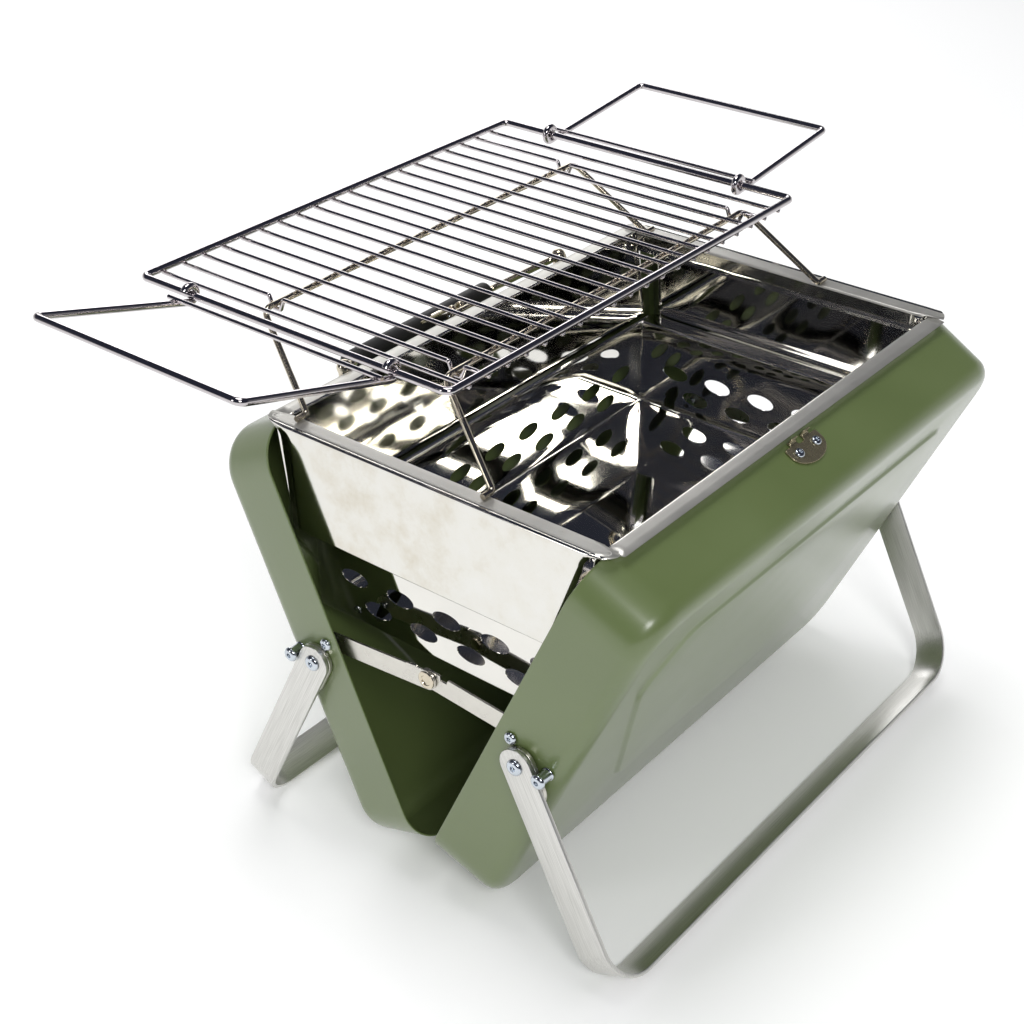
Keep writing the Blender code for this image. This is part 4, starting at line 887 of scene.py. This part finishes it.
def build_rail(pl, s):
    top = RAIL_Z + BOX_T
    y0 = LIP_Y + 1.2
    edge = SIDE_Y if s < 0 else REAR_SIDE_Y
    prof = [(edge - 0.2, top - 0.5), (edge, top - 0.2), (edge - 0.3, top), (edge - 6, top), (y0 + 4, top),
            (y0 + 1.5, top)]
    prof += arc_pts(y0 + 1.5, top - 1.5, 1.5, 90, 180)[1:]
    for k in range(1, 9):
        prof.append((y0 - RAIL_LEAN * k / 8, lerp(top - 1.5, LEDGE_Z, k / 8)))
    rows = []
    cols = 40
    for k, (y, z) in enumerate(prof):
        w = 190.0 if y > y0 + 0.2 else 198.5
        if y > edge - 5:
            w -= 2.0
        rows.append([(lerp(-w, w, i / cols), s * y, z) for i in range(cols + 1)])
    ob = sheet_from(pl + "_rail", rows, cols, [FLANGE, MIRROR], "fire_box", [pl + "_rail"], BOX_T, flip=s > 0)
    for i, p in enumerate(ob.data.polygons):
        if i // cols >= 5:
            p.material_index = 1
    ob.modifiers["sheet"].material_offset = 1
    return ob


for _pl, _s in (("near", -1), ("far", 1)):
    build_end_panel(_pl, _s)
build_rail("front", -1)
build_rail("rear", 1)


def weld_marks():
    """Shallow rings where the end strips are spot-welded to the rails and along the flanges."""
    bm = bmesh.new()
    z = RAIL_Z + BOX_T + GAP + BOX_T
    spots = [(sx * 193.5, sy * 128.5) for sx in (-1, 1) for sy in (-1, 1)]
    spots += [(sx * 192.5, y) for sx in (-1, 1) for y in (-95.0, 60.0, 98.0)]
    for x, y in spots:
        add_turned(bm, [(1.7, -0.1), (1.75, 0.06), (2.1, 0.1), (2.5, 0.06), (2.6, -0.1)], (x, y, z), (0, 0, 1), 28)
    piece("weld_marks", mesh_from(bm, "weld_marks"), FLANGE, WORLD, "fire_box")


weld_marks()


def build_pan():
    zt = PAN_FLANGE_Z + BOX_T
    rings = []

    def ring(x, y, z, r):
        return [(px, py, z) for px, py in loop_points(x, -y, y, r, arc=6, side=16)]
    # outer face, flange first
    for x, y, z, r in ((PAN_FLANGE_X, PAN_Y + 1.30, zt - 0.5, 1.2), (PAN_FLANGE_X - 0.4, PAN_Y + 1.24, zt - 0.1, 1.2),
                       (PAN_FLANGE_X - 2.2, PAN_Y + 1.18, zt + 0.1, 1.2), (PAN_FLANGE_X - 3.6, PAN_Y + 1.12, zt + 0.5, 1.2),
                       (PAN_FLANGE_X - 5.0, PAN_Y + 1.06, zt + 0.1, 1.2), (PAN_FLANGE_X - 8.0, PAN_Y + 1.0, zt, 1.2),
                       (PAN_X + 1.6, PAN_Y + 0.9, zt - 0.06, 1.2), (PAN_X + 0.8, PAN_Y + 0.6, zt - 0.3, 1.3),
                       (PAN_X + 0.2, PAN_Y + 0.2, zt - 0.9, 1.4), (PAN_X, PAN_Y, zt - 1.8, 1.5)):
        rings.append(ring(x, y, z, r))
    for z in (235, 222, 210, 200, 190):
        rings.append(ring(PAN_X, PAN_Y, z, 1.5))
    r = 3.0
    for k in range(0, 6):
        a = math.pi / 2 * k / 5
        rings.append(ring(PAN_X - r * (1 - math.cos(a)), PAN_Y - r * (1 - math.cos(a)),
                          PAN_FLOOR + r * (1 - math.sin(a)), 1.5))
    for g in (0.8, 0.5, 0.2):
        rings.append([(x * g, y * g, PAN_FLOOR) for x, y, _ in rings[-1]] if g == 0.8 else
                     [(x * g, y * g, PAN_FLOOR) for x, y in [(p[0], p[1]) for p in last]])
        if g == 0.8:
            last = [(x / g, y / g) for x, y, _ in rings[-1]]
    bm = bmesh.new()
    skin(bm, rings)
    me = mesh_from(bm, "charcoal_pan")
    me.materials.append(MIRROR)
    # faces must point outwards and down
    low = min(me.polygons, key=lambda p: p.center.z)
    if low.normal.z > 0:
        me.flip_normals()
    ob = piece("charcoal_pan", me, MIRROR, WORLD, "charcoal_pan", ["charcoal_pan"], smooth=30)
    sol = ob.modifiers.new("sheet", "SOLIDIFY")
    sol.thickness = BOX_T * MM
    sol.offset = -1.0
    tool = bmesh.new()

    def oval(cx, cy, cz, along):
        a, b = ((-3, 0, 0), (3, 0, 0)) if along == "y" else ((0, -3, 0), (0, 3, 0))
        verts = add_cyl(tool, a, b, 1.0, 36)
        wide = (1.0, HOLE_A, HOLE_B) if along == "y" else (HOLE_A, 1.0, HOLE_B)
        bmesh.ops.scale(tool, vec=wide, verts=verts)
        bmesh.ops.translate(tool, vec=(cx, cy, cz), verts=verts)
    for s in (-1, 1):
        for k in range(-2, 3):
            oval(s * PAN_X, k * HOLE_PITCH, HOLE_Z[0], "y")
        for k in range(-2, 2):
            oval(s * PAN_X, (k + 0.5) * HOLE_PITCH, HOLE_Z[1], "y")
        for k in range(-4, 5):
            oval(k * HOLE_PITCH, s * PAN_Y, HOLE_Z[0], "x")
        for k in range(-4, 4):
            oval((k + 0.5) * HOLE_PITCH, s * PAN_Y, HOLE_Z[1], "x")
    tm = mesh_from(tool, "pan_holes")
    to = bpy.data.objects.new("pan_holes", tm)
    bpy.context.scene.collection.objects.link(to)
    to.matrix_world = WORLD
    mod = ob.modifiers.new("holes", "BOOLEAN")
    mod.operation = "DIFFERENCE"
    mod.solver = "EXACT"
    mod.object = to
    bpy.context.view_layer.update()
    done = bpy.data.meshes.new_from_object(ob.evaluated_get(bpy.context.evaluated_depsgraph_get()))
    ob.modifiers.clear()
    ob.data = done
    done.shade_smooth()
    done.set_sharp_from_angle(angle=math.radians(30))
    bpy.data.objects.remove(to, do_unlink=True)
    return ob


build_pan()


# =======================================================================
# grid
ROD_Z = GRID_Z - FRAME_R - ROD_R + 0.7
LEG_Z = ROD_Z - ROD_R - LEG_R - GAP


def build_grid():
    corners = [(-GRID_X, GRID_SHIFT - GRID_Y, GRID_Z), (GRID_X, GRID_SHIFT - GRID_Y, GRID_Z),
               (GRID_X, GRID_SHIFT + GRID_Y, GRID_Z), (-GRID_X, GRID_SHIFT + GRID_Y, GRID_Z)]
    ring = bend_path([Vector(c) for c in corners], 5.0, seg=12, cyclic=True)
    paths = [(ring, FRAME_R, True)]
    wires("grid", paths, CHROME, WORLD, "grid", ["grid"], res=6)
    dip = LEG_Z - LEG_R - ROD_R - GAP
    pitch = 2 * GRID_X / (ROD_COUNT + 1)
    y0, y1 = GRID_SHIFT - GRID_Y - 1.8, GRID_SHIFT + GRID_Y + 1.8
    cu = bpy.data.curves.new("grid_rods", "CURVE")
    cu.dimensions = "3D"
    cu.bevel_depth = ROD_R * MM
    cu.bevel_resolution = 5
    cu.use_fill_caps = True
    for i in range(1, ROD_COUNT + 1):
        x = -GRID_X + i * pitch
        if i in (2, ROD_COUNT - 1):
            path = [Vector((x, y0, ROD_Z))]
            for y in LEG_Y:
                path += [Vector((x, y - 6.5, ROD_Z)), Vector((x, y - 3.4, dip)),
                         Vector((x, y + 3.4, dip)), Vector((x, y + 6.5, ROD_Z))]
            path.append(Vector((x, y1, ROD_Z)))
            pts = bend_path(path, 1.8, seg=6)
        else:
            pts = [Vector((x, lerp(y0, y1, k / 24), ROD_Z)) for k in range(25)]
        full = [(p, 1.0) for p in pts]
        head = round_end(pts[1], pts[0], ROD_R)
        tail = round_end(pts[-2], pts[-1], ROD_R)
        seq = [(p, r / ROD_R) for p, r in head[::-1]] + full[1:-1] + [(p, r / ROD_R) for p, r in tail]
        sp = cu.splines.new("POLY")
        sp.points.add(len(seq) - 1)
        for p, (co, rad) in zip(sp.points, seq):
            p.co = (co.x * MM, co.y * MM, co.z * MM, 1.0)
            p.radius = max(rad, 0.02)
        sp.use_smooth = True
    piece("grid_rods", cu, CHROME, WORLD, "grid")
    # small weld beads where each rod meets the frame wire
    bm = bmesh.new()
    for i in range(1, ROD_COUNT + 1):
        x = -GRID_X + i * pitch
        for y in (GRID_SHIFT - GRID_Y, GRID_SHIFT + GRID_Y):
            for sx in (-1, 1):
                bmesh.ops.create_icosphere(bm, subdivisions=2, radius=1.0, matrix=Matrix.Translation(
                    (x + sx * 1.2, y, GRID_Z - FRAME_R + 0.15)) @ Matrix.Diagonal((0.9, 1.5, 0.7, 1)))
    piece("grid_weld_beads", mesh_from(bm, "beads"), CHROME, WORLD, "grid")


build_grid()


def build_legs():
    foot_z = RAIL_Z + 2 * BOX_T + 2 * GAP + LEG_R
    x_foot = LIP_X - LEG_R
    for tag, y_top, y_foot in (("front", LEG_Y[0], FOOT_Y[0]), ("rear", LEG_Y[1], FOOT_Y[1])):
        path = [(-x_foot - 9.0, y_foot, foot_z), (-x_foot, y_foot, foot_z), (-LEG_TOP_X, y_top, LEG_Z),
                (LEG_TOP_X, y_top, LEG_Z), (x_foot, y_foot, foot_z), (x_foot + 9.0, y_foot, foot_z)]
        pts = bend_path([Vector(p) for p in path], [0, 3.0, 9.0, 9.0, 3.0, 0], seg=10)
        wires(tag + "_leg_wire", [(pts, LEG_R, False)], NICKEL, WORLD, tag + "_legs", [tag + "_leg_wire"], res=6)


build_legs()


def build_handles():
    for pl, s in (("near", -1), ("far", 1)):
        hook = FRAME_R + HANDLE_R + GAP
        tilt = HANDLE_TILT[pl]

        def pt(r, y, h):
            c, n = math.cos(tilt), math.sin(tilt)
            return Vector((s * (GRID_X + r * c - h * n), y, GRID_Z + r * n + h * c))

        def hook_path(y):
            angles = [math.radians(20 + 250 * k / 24.0) for k in range(25)]
            return [pt(hook * math.cos(a), y, hook * math.sin(a)) for a in angles]
        ya, yb = GRID_SHIFT - HANDLE_HALF, GRID_SHIFT + HANDLE_HALF
        first, last = hook_path(ya), hook_path(yb)
        bow = bend_path([first[-1], pt(HANDLE_LEN, ya, -hook), pt(HANDLE_LEN, yb, -hook), last[-1]], 4.5, seg=12)
        h = -hook + HANDLE_R + CROSS_R - 0.6
        cross = [pt(CROSS_AT, ya - 5, h), pt(CROSS_AT, yb + 5, h)]
        wires("grid_handle_" + pl, [(first[:-1] + bow + last[-2::-1], HANDLE_R, False), (cross, CROSS_R, False)],
              CHROME, WORLD, pl + "_handle", ["grid_handle_" + pl], res=6)


build_handles()


# =======================================================================
# carry handle
def build_carry():
    cu_, cv_ = -math.sin(BAIL_DROP), math.cos(BAIL_DROP)

    def pt(x, r):
        return Vector((x, BAIL_U + cu_ * r, BAIL_V + cv_ * r))
    x1, x2, x3 = MOUNT_X - 1.5, MOUNT_X - 9.5, GRIP_HALF + 6.0
    path = [pt(-x1, 0), pt(-x2, 0), pt(-x3, BAIL_REACH), pt(x3, BAIL_REACH), pt(x2, 0), pt(x1, 0)]
    wires("carry_handle_bail", [(bend_path(path, [0, 4.0, 7.0, 7.0, 4.0, 0], seg=10), BAIL_R, False)],
          NICKEL, REAR, "carry_handle", ["carry_handle_bail"], res=6)
    c = pt(0, BAIL_REACH)
    g = GRIP_HALF
    prof = [(BAIL_R + GAP, -g + 0.6), (GRIP_R - 4.0, -g), (GRIP_R - 1.6, -g + 0.2), (GRIP_R - 0.5, -g + 1.0),
            (GRIP_R, -g + 2.4), (GRIP_R, g - 2.4), (GRIP_R - 0.5, g - 1.0), (GRIP_R - 1.6, g - 0.2),
            (GRIP_R - 4.0, g), (BAIL_R + GAP, g - 0.6)]
    bm = bmesh.new()
    add_turned(bm, prof + [prof[0]], tuple(c), (1, 0, 0), 40)
    bmesh.ops.remove_doubles(bm, verts=bm.verts, dist=1e-4)
    piece("carry_handle_grip", mesh_from(bm, "grip"), GRIP, REAR, "carry_handle", ["carry_handle_grip"])
    base = CASE_H - DRAFT * (BAIL_V - 8) / CASE_D + GAP
    h = BAIL_U - base
    dome = [(0, h + 5.6), (1.4, h + 5.45), (2.8, h + 4.9), (4.0, h + 3.9), (4.9, h + 2.6), (5.4, h + 1.2),
            (5.5, h), (5.35, h - 2.2), (5.6, h - 3.6), (6.2, 1.9), (7.0, 1.2), (7.8, 0.9), (8.0, 0.45),
            (8.0, 0.0), (1.6, 0.0), (1.6, -3.6), (3.0, -3.6), (2.6, -4.6), (0, -4.6)]
    for s in (-1, 1):
        bm = bmesh.new()
        add_turned(bm, dome, (s * MOUNT_X, base, BAIL_V), (0, 1, 0), 40)
        n = "carry_handle_mount_" + place_of("rear", s)
        piece(n, mesh_from(bm, n), NICKEL, REAR, "rear_case", [n])


build_carry()


# =======================================================================
# catch and latch
def small_rivet(name, x, v, f, body, head, head_h):
    bm = bmesh.new()
    t = 1.2
    add_turned(bm, rivet_profile(1.6, t + 2 * GAP + SHEET + 0.6, head, head_h, 1.1), (x, v, t + 2 * GAP),
               (0, 0, 1), 32)
    piece(name, mesh_from(bm, name), ZINC, f, body, [name])


def build_catch():
    f = top_frame(-1)
    t = 1.2
    f = f @ Matrix.Translation((-CATCH_X * MM, 0, 0))
    out = [(-17, 13.5), (-11, 13.5), (-11, 10.4), (-3.5, 10.4), (-3.5, 14.2), (-2.6, 14.9), (-1.2, 15.2),
           (1.2, 15.2), (2.6, 14.9), (3.5, 14.2), (3.5, 10.4), (11, 10.4), (11, 13.5), (17, 13.5),
           (17.8, 14.4), (18, 16), (18, 18.5)]
    out += [(18 * math.cos(a), 19.5 + 11.0 * math.sin(a)) for a in [math.pi * k / 24 for k in range(1, 24)]]
    out += [(-18, 18.5), (-18, 16), (-17.8, 14.4)]
    holes = [circle(-10, CATCH_V, 1.9, 20), circle(10, CATCH_V, 1.9, 20)]
    flat_plate("catch_plate", out, t, YELLOW, f @ Matrix.Translation((0, 0, (GAP + t / 2) * MM)),
               "front_case", ["catch_plate"], holes, 0.3)
    # rolled lips that the latch's loop closes over
    for k, (a, b) in enumerate(((-10.8, -3.7), (3.7, 10.8))):
        rows = []
        prof = [(13.5, 1.5)] + arc_pts(12.6, 3.0, 2.0, -60, -180, 8) + [(10.6, 4.2)] + \
            arc_pts(11.4, 4.3, 0.8, 180, 60, 5)
        for v, n in prof:
            rows.append([(lerp(a, b, i / 4), v, n) for i in range(5)])
        sheet_from("catch_lip_%d" % k, rows, 4, [YELLOW], "front_case", [], 0.9, f)
    # the top frame's +x is the front half's -x
    for x, pl in ((-10, "far"), (10, "near")):
        small_rivet("catch_rivet_" + pl, x, CATCH_V, f, "front_case", 3.6, 1.6)


def build_latch():
    f = top_frame(1)
    t = 1.2
    out = [(-15, 9.5), (-14, 8.5), (14, 8.5), (15, 9.5), (15, 26.5), (9, 31), (-9, 31), (-15, 26.5)]
    flat_plate("latch_base", out, t, NICKEL, f @ Matrix.Translation((0, 0, (GAP + t / 2) * MM)),
               "rear_case", ["latch_base"], [circle(-10, 22, 1.9, 20), circle(10, 22, 1.9, 20)], 0.3)
    for s in (-1, 1):
        ear = [(LATCH_V - 3.4, 0.7), (LATCH_V + 3.5, 0.7)] + \
            [(LATCH_V + 3.4 * math.cos(a), LATCH_N - 0.4 + 3.4 * math.sin(a))
             for a in [math.pi * k / 14 for k in range(15)]]
        fe = f @ Matrix(((0, 0, 1, s * 12.3 * MM), (1, 0, 0, 0), (0, 1, 0, 0), (0, 0, 0, 1)))
        flat_plate("latch_ear_%s" % ("a" if s < 0 else "b"), ear, 1.2, NICKEL, fe, "rear_case", [],
                   [circle(LATCH_V, LATCH_N, 1.4, 20)], 0.25)
    for x, pl in ((-10, "far"), (10, "near")):
        small_rivet("latch_rivet_" + pl, x, 22, f, "rear_case", 3.2, 1.4)
    bm = bmesh.new()
    add_turned(bm, [(1.35, -11.2), (2.0, -11.2), (2.2, -10.9), (2.2, 10.9), (2.0, 11.2), (1.35, 11.2), (1.35, -11.2)],
               (0, LATCH_V, LATCH_N), (1, 0, 0), 28)
    prof = [(LATCH_V + 0.3, LATCH_N + 1.2), (LATCH_V + 3, LATCH_N + 1.25), (30, LATCH_N + 1.3),
            (35, LATCH_N + 2.1), (37.5, LATCH_N + 3.0), (38.5, LATCH_N + 3.4)]
    widths = [6.2, 6.2, 6.2, 6.2, 5.4, 3.8]
    lo, hi = [], []
    for (v, n), w in zip(prof, widths):
        lo.append([bm.verts.new((lerp(-w, w, i / 6), v, n - 0.6)) for i in range(7)])
        hi.append([bm.verts.new((lerp(-w, w, i / 6), v, n + 0.6)) for i in range(7)])
    for g in (lo, hi):
        for a, b in zip(g, g[1:]):
            for i in range(6):
                bm.faces.new((a[i], a[i + 1], b[i + 1], b[i]))
    for i in range(6):
        bm.faces.new((lo[0][i], lo[0][i + 1], hi[0][i + 1], hi[0][i]))
        bm.faces.new((lo[-1][i], lo[-1][i + 1], hi[-1][i + 1], hi[-1][i]))
    for k in range(len(lo) - 1):
        for i in (0, 6):
            bm.faces.new((lo[k][i], lo[k + 1][i], hi[k + 1][i], hi[k][i]))
    ob = piece("latch_lever", mesh_from(bm, "lever"), NICKEL, f, "latch_lever", ["latch_lever"])
    bm = bmesh.new()
    add_turned(bm, [(0, -13.6), (0.8, -13.6), (1.05, -13.3), (1.05, 13.3), (0.8, 13.6), (0, 13.6)],
               (0, LATCH_V, LATCH_N), (1, 0, 0), 20)
    piece("latch_pin", mesh_from(bm, "latch_pin"), ZINC, f, "rear_case", ["latch_pin"])
    # curled tabs on the lever that hold the loop's bar
    for k, x in enumerate((-4.2, 4.2)):
        prof = arc_pts(LOOP_V, LOOP_N, 2.5, -60, 200, 14)
        rows = [[(lerp(x - 1.6, x + 1.6, i / 3), v, n) for i in range(4)] for v, n in prof]
        sheet_from("latch_tab_%d" % k, rows, 3, [NICKEL], "latch_lever", [], 0.35, f)
    end = (LOOP_V + LOOP_LEN, 6.4)
    path = [(8.5, LOOP_V, LOOP_N + 0.9), (8.5, *end), (-8.5, *end), (-8.5, LOOP_V, LOOP_N + 0.9)]
    wires("latch_loop", [(bend_path([Vector(v) for v in path], 2.4, seg=8, cyclic=True), 1.0, True)],
          YELLOW, f, "latch_loop", ["latch_loop"], res=5)


build_catch()
build_latch()

# =======================================================================
# stage: pale floor, soft light, camera
bm = bmesh.new()
bmesh.ops.create_grid(bm, x_segments=1, y_segments=1, size=9.0)
me = bpy.data.meshes.new("floor")
bm.to_mesh(me)
bm.free()
floor = bpy.data.objects.new("floor", me)
floor.location = (0, 0, -0.0005)
bpy.context.scene.collection.objects.link(floor)
mat, nt, bsdf = new_material("pale_floor")
bsdf.inputs["Base Color"].default_value = (0.97, 0.97, 0.97, 1)
bsdf.inputs["Roughness"].default_value = 0.9
bsdf.inputs["Specular IOR Level"].default_value = 0.0
bsdf.inputs["Emission Color"].default_value = (1.0, 1.0, 1.0, 1)
bsdf.inputs["Emission Strength"].default_value = 0.07
me.materials.append(mat)

world = bpy.data.worlds.new("studio")
bpy.context.scene.world = world
world.use_nodes = True
wn = world.node_tree
for n_ in list(wn.nodes):
    wn.nodes.remove(n_)


def wnode(kind, **inputs):
    n = wn.nodes.new(kind)
    for k, v in inputs.items():
        n.inputs[k].default_value = v
    return n


def wmath(op, a, b, clamp=False):
    m = wn.nodes.new("ShaderNodeMath")
    m.operation = op
    m.use_clamp = clamp
    for i, v in enumerate((a, b)):
        if isinstance(v, (int, float)):
            m.inputs[i].default_value = v
        else:
            wn.links.new(v, m.inputs[i])
    return m.outputs[0]


# what the metals mirror: a pale backdrop low down beyond the object, a dark
# studio overhead and behind the camera
tc_ = wn.nodes.new("ShaderNodeTexCoord")
sep = wn.nodes.new("ShaderNodeSeparateXYZ")
wn.links.new(tc_.outputs["Generated"], sep.inputs[0])
side = wmath("ADD", wmath("MULTIPLY", sep.outputs[0], 0.80), wmath("MULTIPLY", sep.outputs[1], 0.60))
side = wmath("MULTIPLY", wmath("ADD", side, 0.15), 1.6, True)
low = wmath("SUBTRACT", 1.0, wmath("MULTIPLY", wmath("ABSOLUTE", sep.outputs[2], 0.0), 2.1), True)
rr = wn.nodes.new("ShaderNodeValToRGB")
rr.color_ramp.elements[0].position = 0.05
rr.color_ramp.elements[0].color = (0.030, 0.034, 0.052, 1)
rr.color_ramp.elements[1].position = 0.85
rr.color_ramp.elements[1].color = (0.86, 0.86, 0.84, 1)
mid_ = rr.color_ramp.elements.new(0.40)
mid_.color = (0.20, 0.20, 0.21, 1)
wn.links.new(wmath("MULTIPLY", side, low), rr.inputs["Fac"])
sharp = wn.nodes.new("ShaderNodeBackground")
sharp.inputs["Strength"].default_value = 1.0
wn.links.new(rr.outputs["Color"], sharp.inputs["Color"])
# the soft fill all round that the matt surfaces see
fill = wn.nodes.new("ShaderNodeBackground")
fill.inputs["Color"].default_value = (0.98, 0.99, 1.0, 1)
fill.inputs["Strength"].default_value = 0.52
lp = wn.nodes.new("ShaderNodeLightPath")
mixw = wn.nodes.new("ShaderNodeMixShader")
wn.links.new(lp.outputs["Is Diffuse Ray"], mixw.inputs[0])
wn.links.new(sharp.outputs[0], mixw.inputs[1])
wn.links.new(fill.outputs[0], mixw.inputs[2])
outw = wn.nodes.new("ShaderNodeOutputWorld")
# seen directly, the studio is plain and pale
pale = wn.nodes.new("ShaderNodeBackground")
pale.inputs["Color"].default_value = (1.0, 1.0, 1.0, 1)
mixc = wn.nodes.new("ShaderNodeMixShader")
wn.links.new(lp.outputs["Is Camera Ray"], mixc.inputs[0])
wn.links.new(mixw.outputs[0], mixc.inputs[1])
wn.links.new(pale.outputs[0], mixc.inputs[2])
wn.links.new(mixc.outputs[0], outw.inputs["Surface"])


def area(name, loc, target, size, power, color=(1, 1, 1)):
    li = bpy.data.lights.new(name, "AREA")
    li.shape = "RECTANGLE"
    li.size, li.size_y = size
    li.energy = power
    li.color = color
    ob = bpy.data.objects.new(name, li)
    ob.location = loc
    ob.rotation_mode = "QUATERNION"
    ob.rotation_quaternion = (Vector(target) - Vector(loc)).to_track_quat("-Z", "Y")
    bpy.context.scene.collection.objects.link(ob)
    return ob


area("key", (-1.5, -1.7, 1.9), (0, 0, 0.15), (0.8, 0.7), 26)
area("top", (0.1, 0.2, 2.3), (0, 0, 0), (1.0, 0.8), 18)
area("back", (1.7, 1.9, 1.3), (0, 0, 0.2), (1.6, 0.9), 15)
area("left", (-2.2, 0.9, 1.0), (0, 0, 0.2), (0.5, 0.9), 6)

cam = bpy.data.cameras.new("camera")
cam.lens = 62.4
cam.sensor_width = 36.0
cam_ob = bpy.data.objects.new("camera", cam)
bpy.context.scene.collection.objects.link(cam_ob)
yaw, pitch, roll = math.radians(51.04), math.radians(31.74), math.radians(-0.35)
fwd = Vector((math.sin(yaw) * math.cos(pitch), math.cos(yaw) * math.cos(pitch), -math.sin(pitch)))
cam_ob.location = ORIGIN @ Vector((-0.8616, -0.6014, 0.8555))
cam_ob.rotation_mode = "QUATERNION"
cam_ob.rotation_quaternion = fwd.to_track_quat("-Z", "Y") @ Matrix.Rotation(roll, 3, "Z").to_quaternion()
bpy.context.scene.camera = cam_ob
bpy.context.scene.view_settings.view_transform = "Standard"
bpy.context.scene.view_settings.look = "None"
